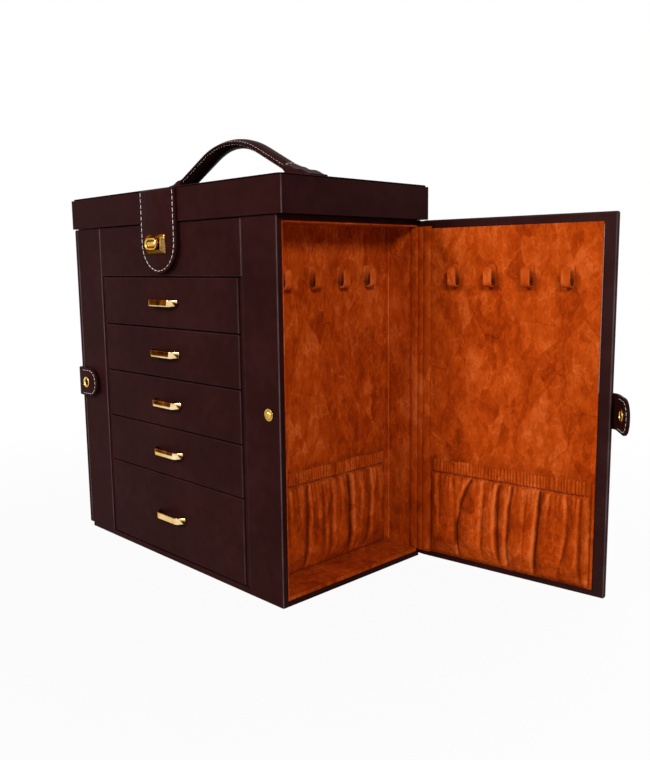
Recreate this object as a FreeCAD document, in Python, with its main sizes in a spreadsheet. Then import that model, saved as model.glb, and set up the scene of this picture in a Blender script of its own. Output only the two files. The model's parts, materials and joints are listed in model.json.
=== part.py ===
import FreeCAD, Part
import math
import os
import re
from types import SimpleNamespace

from FreeCAD import Placement, Rotation, Vector

# A leather jewellery box: a lidded cabinet with five drawers, a door on each side and a carrying handle.
# X runs to the right, Y to the back and Z up. The origin is the centre of the base, on the table.
# The right door stands open and everything else is shut.

document = FreeCAD.newDocument("JewelleryBox")
sheet = document.addObject("Spreadsheet::Sheet", "Sizes")

hook_count = 4
drawer_count = 5

# Driving dimensions in millimetres, angles in degrees
sizes = {
    # lid
    "lid_depth": 162.0,
    "apron_height": 26.0,
    "apron_wall": 5.0,
    "lid_board": 4.0,
    "lid_gap": 0.3,
    "lid_corner": 3.0,
    "lid_lining_wall": 1.2,
    "lid_lining_lift": 0.6,
    "pad_inset": 1.0,
    "pad_crown": 4.6,
    "pad_corner": 4.0,
    "pad_shoulder": 20.0,
    "mirror_width": 210.0,
    "mirror_depth": 100.0,
    "mirror_thickness": 2.0,
    # carcass
    "lid_side_overhang": 2.5,
    "lid_end_overhang": 2.0,
    "carcass_height": 288.0,
    "base_thickness": 4.6,
    "back_thickness": 3.0,
    "stile_thickness": 5.0,
    "bay_width": 196.0,
    "partition_thickness": 11.0,
    "compartment_reach": 33.0,
    "lip_reveal": 4.4,
    "fascia_height": 43.3,
    "partition_recess": 1.5,
    "panel_joint": 0.3,
    "ceiling_thickness": 4.2,
    "shelf_thickness": 3.0,
    "leather_edge": 1.2,
    "lining_wall": 1.0,
    "lining_floor": 3.0,
    # drawers
    "bottom_drawer_pitch": 70.0,
    "drawer_gap": 0.9,
    "drawer_side_gap": 1.0,
    "drawer_wall": 2.5,
    "drawer_back_gap": 6.0,
    "drawer_headroom": 3.0,
    "runner_gap": 0.3,
    "pull_span": 40.0,
    "pull_bar": 29.0,
    "pull_reach": 7.5,
    "pull_strip": 2.0,
    "pull_height": 6.0,
    "pull_bend": 2.4,
    # upper tray
    "tray_rim_drop": 1.0,
    "tray_divider": 3.0,
    "roll_pitch": 21.0,
    "roll_gap": 0.8,
    "roll_shoulder": 20.0,
    "roll_crown": 7.0,
    "roll_end_gap": 1.0,
    # doors
    "door_thickness": 5.0,
    "door_gap": 0.5,
    "door_hinge_set_back": 0.5,
    "door_front_overhang": 0.5,
    "door_foot": 3.3,
    "door_head_gap": 0.7,
    "right_door_angle": 97.0,
    "door_lining_thickness": 1.5,
    "door_lining_free_margin": 9.0,
    "door_lining_hinge_margin": 9.0,
    "door_lining_head_margin": 6.8,
    "door_lining_foot_margin": 5.4,
    # cloth hinges
    "hinge_cloth": 0.8,
    "hinge_cloth_clearance": 0.12,
    "hinge_leaf": 5.0,
    "lid_strip_width": 240.0,
    "lid_strip_leaf": 11.0,
    # necklace hooks
    "hook_width": 7.0,
    "hook_height": 18.0,
    "hook_tongue": 15.5,
    "hook_reach": 9.0,
    "hook_strip": 1.7,
    "hook_round": 2.5,
    "hook_pitch": 31.2,
    "hook_drop": 54.0,
    # gathered pockets
    "pocket_sheet": 1.2,
    "pocket_clearance": 0.3,
    "pocket_side_margin": 2.0,
    "pocket_foot_margin": 1.5,
    "pocket_top_level": 92.0,
    "pocket_swell": 7.0,
    "pocket_fold": 2.0,
    # snap tabs
    "tab_height": 26.5,
    "tab_thickness": 2.2,
    "tab_stand_off": 2.8,
    "tab_tip_reach": 16.5,
    "tab_bead": 1.1,
    "tab_round": 12.0,
    "tab_ramp": 6.0,
    "right_tab_angle": 58.0,
    "fastener_level": 145.0,
    "fastener_set_in": 12.0,
    "stud_radius": 4.6,
    "stud_neck_radius": 3.4,
    "stud_rim": 0.7,
    "stud_height": 2.5,
    "snap_cap_radius": 5.0,
    "snap_cap_height": 1.6,
    "snap_cap_bevel": 1.0,
    "snap_barrel_radius": 4.0,
    "snap_dish_radius": 2.6,
    "snap_dish_depth": 0.9,
    # front strap and turn lock
    "strap_width": 51.0,
    "strap_thickness": 2.4,
    "strap_round": 1.1,
    "strap_drop": 67.5,
    "strap_gap": 0.3,
    "lock_width": 25.0,
    "lock_height": 15.4,
    "lock_depth": 5.0,
    "lock_drop": 43.3,
    "lock_edge": 1.0,
    "knob_length": 17.0,
    "knob_width": 9.4,
    "knob_thickness": 2.0,
    "knob_edge": 0.7,
    "knob_lift": 0.3,
    "knob_stem_radius": 3.0,
    "knob_clearance": 0.05,
    "strike_width": 20.0,
    "strike_height": 12.0,
    "strike_thickness": 0.8,
    # handle
    "handle_width": 20.0,
    "handle_thickness": 8.0,
    "handle_arch_radius": 82.0,
    "handle_arch_angle": 27.0,
    "handle_leg": 48.0,
    "handle_toe_radius": 21.0,
    "handle_toe_length": 14.0,
    "handle_toe_end": 3.0,
    "handle_bevel": 2.4,
    "anchor_length": 34.0,
    "anchor_width": 27.0,
    "anchor_thickness": 1.5,
    "anchor_corner": 5.0,
}

# Sizes that follow from the driving ones
formulas = {
    "carcass_width": "bay_width + 2 * (partition_thickness + compartment_reach)",
    "lid_width": "carcass_width + 2 * (lid_side_overhang + door_thickness + door_gap)",
    "carcass_depth": "lid_depth - 2 * lid_end_overhang",
    "lid_bottom": "carcass_height + lid_gap",
    "lid_top": "lid_bottom + apron_height",
    "pad_top": "lid_top + pad_crown",
    "carcass_side_height": "carcass_height - base_thickness",
    "front_face": "-carcass_depth / 2",
    "back_face": "carcass_depth / 2",
    "stile_back": "front_face + stile_thickness",
    "back_inside": "back_face - back_thickness",
    "bay_depth": "back_inside - stile_back",
    "compartment_inside": "bay_width / 2 + partition_thickness",
    "compartment_height": "carcass_side_height - ceiling_thickness",
    "shelf_depth": "bay_depth - panel_joint",
    "stile_width": "partition_thickness + compartment_reach - lip_reveal",
    "fascia_width": "carcass_width - 2 * (stile_width + panel_joint)",
    "fascia_foot": "carcass_height - fascia_height - drawer_gap / 2",
    "drawer_stack": "fascia_foot - base_thickness - drawer_gap / 2",
    "drawer_pitch": f"(drawer_stack - bottom_drawer_pitch) / {drawer_count - 1}",
    "drawer_width": "bay_width - 2 * drawer_side_gap",
    "drawer_depth": "bay_depth - drawer_back_gap",
    "tray_foot": "fascia_foot + shelf_thickness / 2",
    "tray_height": "carcass_height - tray_rim_drop - tray_foot",
    "door_outside": "carcass_width / 2 + door_gap + door_thickness",
    "door_length": "carcass_depth + door_hinge_set_back + door_front_overhang",
    "door_height": "lid_bottom - door_head_gap - door_foot",
    "door_lining_length": "door_length - door_lining_free_margin - door_lining_hinge_margin",
    "door_lining_height": "door_height - door_lining_head_margin - door_lining_foot_margin",
    "hook_level": "carcass_height - hook_drop",
    "fastener_from_centre": "carcass_width / 2 - fastener_set_in",
    "lock_level": "lid_top - lock_drop",
    "lid_inner_width": "lid_width - 2 * apron_wall",
    "lid_inner_depth": "lid_depth - 2 * apron_wall",
    "lid_inner_height": "apron_height - lid_board",
}

cells = list(sizes.items()) + [(name, "=" + rule) for name, rule in formulas.items()]
for row, (name, content) in enumerate(cells, start=1):
    sheet.set(f"A{row}", name)
    sheet.set(f"B{row}", str(content))
    sheet.setAlias(f"B{row}", name)
document.recompute()
v = SimpleNamespace(**{name: float(sheet.get(name)) for name, content in cells})

pieces = {}


def keep(piece, label):
    piece.Label = label
    pieces[label] = piece
    return piece


def bind(item, **lengths):
    for prop, rule in lengths.items():
        item.setExpression(prop, re.sub(r"[a-z]\w*", lambda word: "Sizes." + word.group(0), rule))


def block(name, length, width, height, corner):
    item = document.addObject("Part::Box", name)
    bind(item, Length=length, Width=width, Height=height)
    item.Placement = Placement(Vector(*corner), Rotation())
    return item


def rounded(name, base, radius, chosen):
    document.recompute()
    item = document.addObject("Part::Fillet", name)
    item.Base = base
    item.Edges = [(n, radius, radius) for n, edge in enumerate(base.Shape.Edges, start=1) if chosen(edge)]
    return item


def cut(name, base, tool):
    item = document.addObject("Part::Cut", name)
    item.Base = base
    item.Tool = tool
    return item


def group(name, members):
    item = document.addObject("Part::Compound", name)
    item.Links = members
    return item


def plane_of(body, role):
    return next(feature for feature in body.Origin.OriginFeatures if feature.Role == role)


def draw(body, role, steps, lift=0.0):
    # A closed outline: a start point, then the end of each line or the middle and end of each arc.
    sketch = body.newObject("Sketcher::SketchObject", "Outline")
    sketch.AttachmentSupport = [(plane_of(body, role), "")]
    sketch.MapMode = "FlatFace"
    sketch.AttachmentOffset = Placement(Vector(0, 0, lift), Rotation())
    here = Vector(*steps[0], 0)
    for step in list(steps[1:]) + [steps[0]]:
        if isinstance(step[0], tuple):
            middle, end = (Vector(*point, 0) for point in step)
            sketch.addGeometry(Part.Arc(here, middle, end))
        else:
            end = Vector(*step, 0)
            if end != here:
                sketch.addGeometry(Part.LineSegment(here, end))
        here = end
    return sketch


def pad(body, sketch, length, middle=False):
    feature = body.newObject("PartDesign::Pad", "Pad")
    feature.Profile = sketch
    bind(feature, Length=length)
    if middle:
        feature.SideType = "Symmetric"
    return feature


def soften(body, base, chosen, **size):
    # Rounds the chosen edges by a Radius, or bevels them by a Size.
    document.recompute()
    feature = body.newObject("PartDesign::Fillet" if "Radius" in size else "PartDesign::Chamfer", "Softened")
    feature.Base = (base, [f"Edge{n}" for n, edge in enumerate(base.Shape.Edges, start=1) if chosen(edge)])
    bind(feature, **size)
    return feature


def repeat(body, feature, role, length, count):
    document.recompute()
    pattern = body.newObject("PartDesign::LinearPattern", "Row")
    pattern.Originals = [feature]
    pattern.Direction = (plane_of(body, role), [""])
    pattern.Occurrences = count
    bind(pattern, Length=length)
    body.Tip = pattern
    return pattern


def new_body(label, base=(0, 0, 0)):
    body = document.addObject("PartDesign::Body", label)
    body.Placement = Placement(Vector(*base), Rotation())
    if hasattr(body, "AllowCompound"):
        body.AllowCompound = True
    return keep(body, label)


def along(edge, axis):
    if len(edge.Vertexes) < 2:
        return False
    run = edge.Vertexes[1].Point.sub(edge.Vertexes[0].Point)
    return run.Length > 0 and abs(abs(run.dot(axis)) - run.Length) < run.Length * straight_share


straight_share = 1e-6
across, inward, upward = Vector(1, 0, 0), Vector(0, 1, 0), Vector(0, 0, 1)
sides = {"left": -1, "right": 1}


def side_start(side, inner, reach):
    # Lowest X of a piece that starts at the distance inner from the centre, on either side.
    return inner if side > 0 else -inner - reach


# Carcass boards, wrapped in leather
base_blank = block("base_blank", "carcass_width", "carcass_depth", "base_thickness",
                   (-v.carcass_width / 2, v.front_face, 0))
keep(rounded("base_board", base_blank, v.leather_edge, lambda edge: along(edge, upward)), "base_board")

keep(block("back_panel", "carcass_width", "back_thickness", "carcass_side_height",
           (-v.carcass_width / 2, v.back_inside, v.base_thickness)), "back_panel")

stile_inside = v.carcass_width / 2 - v.stile_width
for name, side in sides.items():
    stile = block(f"{name}_stile_blank", "stile_width", "stile_thickness", "carcass_side_height",
                  (side_start(side, stile_inside, v.stile_width), v.front_face, v.base_thickness))
    keep(rounded(f"{name}_stile", stile, v.leather_edge,
                 lambda edge: along(edge, upward) and edge.BoundBox.YMax < v.stile_back - v.leather_edge),
         f"{name}_stile")

fascia = block("fascia_blank", "fascia_width", "stile_thickness", "fascia_height",
               (-v.fascia_width / 2, v.front_face, v.fascia_foot + v.drawer_gap / 2))
keep(rounded("fascia_panel", fascia, v.leather_edge,
             lambda edge: edge.BoundBox.YMax < v.stile_back - v.leather_edge), "fascia_panel")

# A partition stands on each side of the drawers, with a lip that closes the gap beside the drawer fronts
lip_outside = stile_inside - v.panel_joint
for name, side in sides.items():
    body = new_body(f"{name}_partition", (0, 0, v.base_thickness))
    wall = draw(body, "XY_Plane", [
        (side * v.bay_width / 2, v.stile_back),
        (side * v.compartment_inside, v.stile_back),
        (side * v.compartment_inside, v.back_inside),
        (side * v.bay_width / 2, v.back_inside),
    ])
    pad(body, wall, "carcass_side_height")
    lip = draw(body, "XY_Plane", [
        (side * v.bay_width / 2, v.front_face + v.partition_recess),
        (side * lip_outside, v.front_face + v.partition_recess),
        (side * lip_outside, v.stile_back),
        (side * v.bay_width / 2, v.stile_back),
    ])
    pad(body, lip, "fascia_foot - base_thickness")

ceilings = [block(f"{name}_ceiling", "compartment_reach", "bay_depth", "ceiling_thickness",
                  (side_start(side, v.compartment_inside, v.compartment_reach), v.stile_back,
                   v.carcass_height - v.ceiling_thickness))
            for name, side in sides.items()]
keep(group("compartment_ceilings", ceilings), "compartment_ceilings")

levels = [v.base_thickness + v.drawer_gap / 2]
levels.append(levels[0] + v.bottom_drawer_pitch)
while len(levels) <= drawer_count:
    levels.append(levels[-1] + v.drawer_pitch)

shelves = [block(f"shelf_{n}", "bay_width", "shelf_depth", "shelf_thickness",
                 (-v.bay_width / 2, v.stile_back + v.panel_joint, level - v.shelf_thickness / 2))
           for n, level in enumerate(levels[1:drawer_count], start=1)]
keep(group("drawer_shelves", shelves), "drawer_shelves")

keep(block("tray_floor", "bay_width", "bay_depth", "shelf_thickness",
           (-v.bay_width / 2, v.stile_back, v.fascia_foot - v.shelf_thickness / 2)), "tray_floor")

# Upper tray under the lid: a suede lining with a well on the left and ring rolls on the right
tray_low = (-v.bay_width / 2, v.stile_back, v.tray_foot)
tray_blank = block("tray_blank", "bay_width", "bay_depth", "tray_height", tray_low)
wells = [block(f"{name}_well", "(bay_width - tray_divider) / 2 - lining_wall", "bay_depth - 2 * lining_wall",
               "tray_height",
               (side_start(side, v.tray_divider / 2, (v.bay_width - v.tray_divider) / 2 - v.lining_wall),
                v.stile_back + v.lining_wall, v.tray_foot + v.lining_wall))
         for name, side in sides.items()]
keep(cut("tray_lining", tray_blank, group("tray_wells", wells)), "tray_lining")

roll_half = (v.roll_pitch - v.roll_gap) / 2
roll_count = int((v.bay_depth - 2 * v.lining_wall) // v.roll_pitch)
first_roll = (v.stile_back + v.back_inside) / 2 - (roll_count - 1) * v.roll_pitch / 2
rolls = new_body("ring_rolls", (v.tray_divider / 2 + v.roll_end_gap, first_roll, v.tray_foot + v.lining_wall))
roll_section = draw(rolls, "YZ_Plane", [
    (-roll_half, 0),
    (roll_half, 0),
    (roll_half, v.roll_shoulder),
    ((0, v.roll_shoulder + v.roll_crown), (-roll_half, v.roll_shoulder)),
])
roll = pad(rolls, roll_section, "(bay_width - tray_divider) / 2 - lining_wall - 2 * roll_end_gap")
repeat(rolls, roll, "Y_Axis", f"{roll_count - 1} * roll_pitch", roll_count)

# Suede lining of each side compartment, open towards its door
for name, side in sides.items():
    shell = block(f"{name}_lining_blank", "compartment_reach", "bay_depth", "compartment_height",
                  (side_start(side, v.compartment_inside, v.compartment_reach), v.stile_back,
                   v.base_thickness))
    space = block(f"{name}_lining_space", "compartment_reach", "bay_depth - 2 * lining_wall",
                  "compartment_height - lining_floor - lining_wall",
                  (side_start(side, v.compartment_inside + v.lining_wall, v.compartment_reach),
                   v.stile_back + v.lining_wall, v.base_thickness + v.lining_floor))
    keep(cut(f"{name}_compartment_lining", shell, space), f"{name}_compartment_lining")


# A row of necklace hooks: each is a strip bent up into a J, with rounded ends
def hook_row(label, wall, outward):
    bend = v.hook_reach / 2
    body = new_body(label, (wall, -(hook_count - 1) * v.hook_pitch / 2, v.hook_level))
    profile = draw(body, "XZ_Plane", [
        (0, v.hook_height),
        (0, bend),
        ((outward * bend, 0), (outward * v.hook_reach, bend)),
        (outward * v.hook_reach, v.hook_tongue),
        (outward * (v.hook_reach - v.hook_strip), v.hook_tongue),
        (outward * (v.hook_reach - v.hook_strip), bend),
        ((outward * bend, v.hook_strip), (outward * v.hook_strip, bend)),
        (outward * v.hook_strip, v.hook_height),
    ])
    strip = pad(body, profile, "hook_width", middle=True)
    tip = soften(body, strip, lambda edge: along(edge, across)
                 and abs(edge.CenterOfMass.z - v.hook_tongue) < v.hook_strip / 2, Radius="hook_round")
    pattern = repeat(body, strip, "Y_Axis", f"{hook_count - 1} * hook_pitch", hook_count)
    pattern.Originals = [strip, tip]
    return body


# A gathered pocket: a pleated sheet, sewn down at its sides and foot and standing open at the top
crease_shares = (0, 0.10, 0.21, 0.34, 0.44, 0.57, 0.67, 0.80, 0.90, 1)
height_shares = (0, 0.42, 0.84, 1)
swell_shares = (0.10, 1.0, 0.82, 0.82)
pleat_shares = ((0, 0), (0.3, 0.9), (0.7, 1))


def pocket(label, wall, outward, low, high, foot):
    sections = []
    for rise, swell in zip(height_shares, swell_shares):
        level = foot + rise * (v.pocket_top_level - foot)
        bulges = [0] + [swell * v.pocket_swell] * (len(crease_shares) - 2) + [0]
        creases = [(low + share * (high - low), bulge) for share, bulge in zip(crease_shares, bulges)]
        line = []
        for here, there in zip(creases, creases[1:]):
            for run, crest in pleat_shares:
                line.append((here[0] + run * (there[0] - here[0]),
                             here[1] + run * (there[1] - here[1]) + crest * v.pocket_fold))
        line.append(creases[-1])
        loop = [(place, bulge + v.pocket_sheet) for place, bulge in line] + line[::-1]
        corners = [Vector(wall + outward * (v.pocket_clearance + bulge), place, level)
                   for place, bulge in loop]
        sections.append(Part.makePolygon(corners + corners[:1]))
    item = document.addObject("Part::Feature", label)
    item.Shape = Part.makeLoft(sections, True, True)
    return keep(item, label)


compartment_wall = v.compartment_inside + v.lining_wall
pocket_low = v.stile_back + v.lining_wall + v.pocket_side_margin
pocket_high = v.back_inside - v.lining_wall - v.hinge_leaf - v.pocket_side_margin
for name, side in sides.items():
    hook_row(f"{name}_compartment_hooks", side * compartment_wall, side)
    pocket(f"{name}_compartment_pocket", side * compartment_wall, side, pocket_low, pocket_high,
           v.base_thickness + v.lining_floor + v.pocket_foot_margin)


# Doors, drawn shut and then swung about the rear outer corner
hinge_place = v.back_face + v.door_hinge_set_back
door_inside = v.door_outside - v.door_thickness
door_front = hinge_place - v.door_length
lining_face = door_inside - v.door_lining_thickness
lining_low = door_front + v.door_lining_free_margin
lining_high = hinge_place - v.door_lining_hinge_margin
lining_foot = v.door_foot + v.door_lining_foot_margin


def turn(degrees, x, y):
    return Placement(Vector(0, 0, 0), Rotation(upward, degrees), Vector(x, y, 0))


swings = {"left": Placement(), "right": turn(v.right_door_angle, v.door_outside, hinge_place)}
for name, side in sides.items():
    blank = block(f"{name}_door_blank", "door_thickness", "door_length", "door_height",
                  (side_start(side, door_inside, v.door_thickness), door_front, v.door_foot))
    panel = rounded(f"{name}_door_panel", blank, v.leather_edge, lambda edge: along(edge, upward))
    keep(panel, f"{name}_door_panel")
    lining = block(f"{name}_door_lining", "door_lining_thickness", "door_lining_length", "door_lining_height",
                   (side_start(side, lining_face, v.door_lining_thickness), lining_low, lining_foot))
    keep(lining, f"{name}_door_lining")
    hooks = hook_row(f"{name}_door_hooks", side * lining_face, -side)
    bag = pocket(f"{name}_door_pocket", side * lining_face, -side, lining_low + v.pocket_side_margin,
                 lining_high - v.pocket_side_margin, lining_foot + v.pocket_foot_margin)
    for piece in (panel, lining, hooks, bag):
        piece.Placement = swings[name].multiply(piece.Placement)

# Cloth strips that hinge the doors inside the rear corners, and the lid along the back
lining_back = v.back_inside - v.lining_wall
cloth = v.hinge_cloth
slip = v.hinge_cloth_clearance
leaf_start = v.carcass_width / 2 - v.hinge_leaf
leaf_end = lining_high + slip
strip_foot = v.base_thickness + v.lining_floor + slip
strip_height = "compartment_height - lining_floor - lining_wall - 2 * hinge_cloth_clearance"


def strip(label, outline, plane, base, length, middle=False):
    body = new_body(label, base)
    pad(body, draw(body, plane, outline), length, middle)


strip("left_hinge_strip", [
    (-leaf_start, lining_back),
    (-door_inside + slip, lining_back),
    (-door_inside + slip, leaf_end),
    (-door_inside + slip + cloth, leaf_end),
    (-door_inside + slip + cloth, lining_back - cloth),
    (-leaf_start, lining_back - cloth),
], "XY_Plane", (0, 0, strip_foot), strip_height)


def swung(x, y):
    place = swings["right"].multVec(Vector(x, y, 0))
    return (place.x, place.y)


strip("right_hinge_strip", [
    (leaf_start, lining_back),
    (v.carcass_width / 2, lining_back),
    swung(door_inside - slip, hinge_place),
    swung(door_inside - slip, leaf_end),
    swung(door_inside - slip - cloth, leaf_end),
    swung(door_inside - slip - cloth, hinge_place),
    (v.carcass_width / 2, lining_back - cloth),
    (leaf_start, lining_back - cloth),
], "XY_Plane", (0, 0, strip_foot), strip_height)

lid_back = v.lid_depth / 2
step = v.lid_end_overhang
strip("lid_hinge_strip", [
    (v.back_face, v.lid_bottom - v.lid_strip_leaf),
    (v.back_face, v.lid_bottom - step),
    (lid_back, v.lid_bottom - slip),
    (lid_back, v.lid_bottom + v.lid_strip_leaf),
    (lid_back + cloth, v.lid_bottom + v.lid_strip_leaf),
    (lid_back + cloth, v.lid_bottom - slip - cloth),
    (v.back_face + cloth, v.lid_bottom - step - cloth),
    (v.back_face + cloth, v.lid_bottom - v.lid_strip_leaf),
], "YZ_Plane", (0, 0, 0), "lid_strip_width", middle=True)


# Snap studs on the stiles, and the tabs on the door edges that close over them
def turned(label, profile, base):
    body = new_body(label, base)
    feature = body.newObject("PartDesign::Revolution", "Turned")
    feature.Profile = draw(body, "XY_Plane", profile)
    feature.ReferenceAxis = (plane_of(body, "Y_Axis"), [""])
    feature.Angle = 360
    return body


def stud(label, side):
    rise = v.stud_height - v.stud_rim
    dome = (v.stud_neck_radius ** 2 + rise ** 2) / (2 * rise)
    halfway = math.asin(v.stud_neck_radius / dome) / 2
    body = turned(label, [
        (0, 0),
        (v.stud_radius, 0),
        (v.stud_radius, -v.stud_rim),
        (v.stud_neck_radius, -v.stud_rim),
        ((dome * math.sin(halfway), dome - v.stud_height - dome * math.cos(halfway)), (0, -v.stud_height)),
    ], (side * v.fastener_from_centre, v.front_face, v.fastener_level))
    # Both studs are handed on as one piece.
    pieces.pop(label)
    return body


keep(group("snap_studs", [stud(f"{name}_stud", side) for name, side in sides.items()]), "snap_studs")

bead_x = v.door_outside - v.tab_bead - v.panel_joint
bead_y = door_front - v.panel_joint - v.tab_bead
flap_back = v.front_face - v.tab_stand_off
flap_front = flap_back - v.tab_thickness
tab_tip = v.fastener_from_centre - v.tab_tip_reach
for name, side in sides.items():
    body = new_body(f"{name}_tab", (0, 0, v.fastener_level))
    outline = draw(body, "XY_Plane", [
        (side * (bead_x + v.tab_bead), bead_y),
        ((side * bead_x, bead_y + v.tab_bead), (side * (bead_x - v.tab_bead), bead_y)),
        (side * (bead_x - v.tab_ramp), flap_back),
        (side * tab_tip, flap_back),
        (side * tab_tip, flap_front),
        (side * (bead_x - v.tab_ramp), flap_front),
    ])
    flap = pad(body, outline, "tab_height", middle=True)
    soften(body, flap, lambda edge: along(edge, inward) and abs(edge.CenterOfMass.x) < v.fastener_from_centre,
           Radius="tab_round")
    hole = body.newObject("PartDesign::Pocket", "SnapHole")
    barrel_sketch = body.newObject("Sketcher::SketchObject", "SnapOutline")
    barrel_sketch.AttachmentSupport = [(plane_of(body, "XZ_Plane"), "")]
    barrel_sketch.MapMode = "FlatFace"
    barrel_sketch.addGeometry(Part.Circle(Vector(side * v.fastener_from_centre, 0, 0), upward,
                                          v.snap_barrel_radius))
    hole.Profile = barrel_sketch
    hole.Type = "ThroughAll"
    hole.SideType = "Symmetric"
    snap = turned(f"{name}_tab_snap", [
        (0, 0),
        (v.snap_barrel_radius, 0),
        (v.snap_barrel_radius, -v.tab_thickness),
        (v.snap_cap_radius, -v.tab_thickness),
        (v.snap_cap_radius, v.snap_cap_bevel - v.tab_thickness - v.snap_cap_height),
        (v.snap_cap_radius - v.snap_cap_bevel, -v.tab_thickness - v.snap_cap_height),
        (v.snap_dish_radius, -v.tab_thickness - v.snap_cap_height),
        (v.snap_dish_radius, -v.tab_thickness - v.snap_cap_height + v.snap_dish_depth),
        (0, -v.tab_thickness - v.snap_cap_height + v.snap_dish_depth),
    ], (side * v.fastener_from_centre, flap_back, v.fastener_level))
    if side > 0:
        relaxed = turn(90 - v.right_tab_angle, bead_x, bead_y)
        for piece in (body, snap):
            piece.Placement = swings[name].multiply(relaxed).multiply(piece.Placement)


# Lid: a shallow box open underneath, with a crowned pad on top and a lining with a mirror inside
def centred(name, length, width, height, low):
    return block(name, length, width, height, (-getattr(v, length) / 2, -getattr(v, width) / 2, low))


lid_blank = centred("lid_blank", "lid_width", "lid_depth", "apron_height", v.lid_bottom)
lid_solid = rounded("lid_solid", lid_blank, v.lid_corner, lambda edge: along(edge, upward))
lid_space = centred("lid_space", "lid_inner_width", "lid_inner_depth", "lid_inner_height", v.lid_bottom)
keep(cut("lid_shell", lid_solid, lid_space), "lid_shell")

lining_outer = block("lid_lining_blank", "lid_inner_width", "lid_inner_depth",
                     "lid_inner_height - lid_lining_lift",
                     (-v.lid_inner_width / 2, -v.lid_inner_depth / 2, v.lid_bottom + v.lid_lining_lift))
lining_space = block("lid_lining_space", "lid_inner_width - 2 * lid_lining_wall",
                     "lid_inner_depth - 2 * lid_lining_wall", "lid_inner_height - lid_lining_wall",
                     (v.lid_lining_wall - v.lid_inner_width / 2, v.lid_lining_wall - v.lid_inner_depth / 2,
                      v.lid_bottom))
keep(cut("lid_lining", lining_outer, lining_space), "lid_lining")

keep(centred("lid_mirror", "mirror_width", "mirror_depth", "mirror_thickness",
               v.lid_top - v.lid_board - v.lid_lining_wall - v.mirror_thickness), "lid_mirror")

pad_rise_shares = (0, 0.35, 0.8, 1)
pad_inset_shares = (0.06, 0, 0.25, 1)
lid_pad = new_body("lid_pad", (0, 0, v.lid_top))
corner = v.pad_corner
bite = corner * (1 - math.sin(math.pi / 4))
layers = []
for rise, inset in zip(pad_rise_shares, pad_inset_shares):
    half_x = v.lid_width / 2 - v.pad_inset - inset * v.pad_shoulder
    half_y = v.lid_depth / 2 - v.pad_inset - inset * v.pad_shoulder
    layers.append(draw(lid_pad, "XY_Plane", [
        (corner - half_x, -half_y),
        (half_x - corner, -half_y),
        ((half_x - bite, bite - half_y), (half_x, corner - half_y)),
        (half_x, half_y - corner),
        ((half_x - bite, half_y - bite), (half_x - corner, half_y)),
        (corner - half_x, half_y),
        ((bite - half_x, half_y - bite), (-half_x, half_y - corner)),
        (-half_x, corner - half_y),
        ((bite - half_x, bite - half_y), (corner - half_x, -half_y)),
    ], rise * v.pad_crown))
cushion = lid_pad.newObject("PartDesign::AdditiveLoft", "Cushion")
cushion.Profile = layers[0]
cushion.Sections = layers[1:]
cushion.Ruled = True

# Carrying handle: an arched padded strap with straight legs, whose toes lie flat on a pair of anchors
lean = math.radians(v.handle_arch_angle)
half = v.handle_thickness / 2
toe_x = (v.handle_arch_radius + v.handle_toe_radius) * math.sin(lean) + v.handle_leg * math.cos(lean)
toe_level = v.pad_top + v.anchor_thickness
arch_centre = (toe_level + half + v.handle_toe_radius + v.handle_leg * math.sin(lean)
               - (v.handle_arch_radius + v.handle_toe_radius) * math.cos(lean))
leg_middle = arch_centre + v.handle_arch_radius * math.cos(lean) - v.handle_leg * math.sin(lean) / 2


def arch(radius, angle):
    return (radius * math.sin(angle), arch_centre + radius * math.cos(angle))


def toe(radius, angle, side):
    return (side * (toe_x - radius * math.sin(angle)),
            toe_level + half + v.handle_toe_radius - radius * math.cos(angle))


outer, inner = v.handle_arch_radius + half, v.handle_arch_radius - half
over, under = v.handle_toe_radius - half, v.handle_toe_radius + half
toe_end = toe_x + v.handle_toe_length
handle = new_body("handle_strap")
handle_outline = draw(handle, "XZ_Plane", [
    (toe_end, toe_level),
    (toe_end, toe_level + v.handle_toe_end),
    toe(over, 0, 1),
    (toe(over, lean / 2, 1), toe(over, lean, 1)),
    arch(outer, lean),
    (arch(outer, 0), arch(outer, -lean)),
    toe(over, lean, -1),
    (toe(over, lean / 2, -1), toe(over, 0, -1)),
    (-toe_end, toe_level + v.handle_toe_end),
    (-toe_end, toe_level),
    toe(under, 0, -1),
    (toe(under, lean / 2, -1), toe(under, lean, -1)),
    arch(inner, -lean),
    (arch(inner, 0), arch(inner, lean)),
    toe(under, lean, 1),
    (toe(under, lean / 2, 1), toe(under, 0, 1)),
])
arched = pad(handle, handle_outline, "handle_width", middle=True)


def on_top(edge):
    # The edges of the strap's upper face, along its arch, its legs and its toes.
    radius = getattr(edge.Curve, "Radius", 0)
    on_leg = abs(edge.Length - v.handle_leg) < half / 2 and edge.CenterOfMass.z > leg_middle
    return on_leg or min(abs(radius - outer), abs(radius - over)) < half / 2


soften(handle, arched, on_top, Size="handle_bevel")

anchors = [rounded(f"{name}_anchor",
                   block(f"{name}_anchor_blank", "anchor_length", "anchor_width", "anchor_thickness",
                         (side * (toe_end - v.anchor_length / 2) - v.anchor_length / 2, -v.anchor_width / 2,
                          v.pad_top)),
                   v.anchor_corner, lambda edge: along(edge, upward))
           for name, side in sides.items()]
keep(group("handle_anchors", anchors), "handle_anchors")

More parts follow.
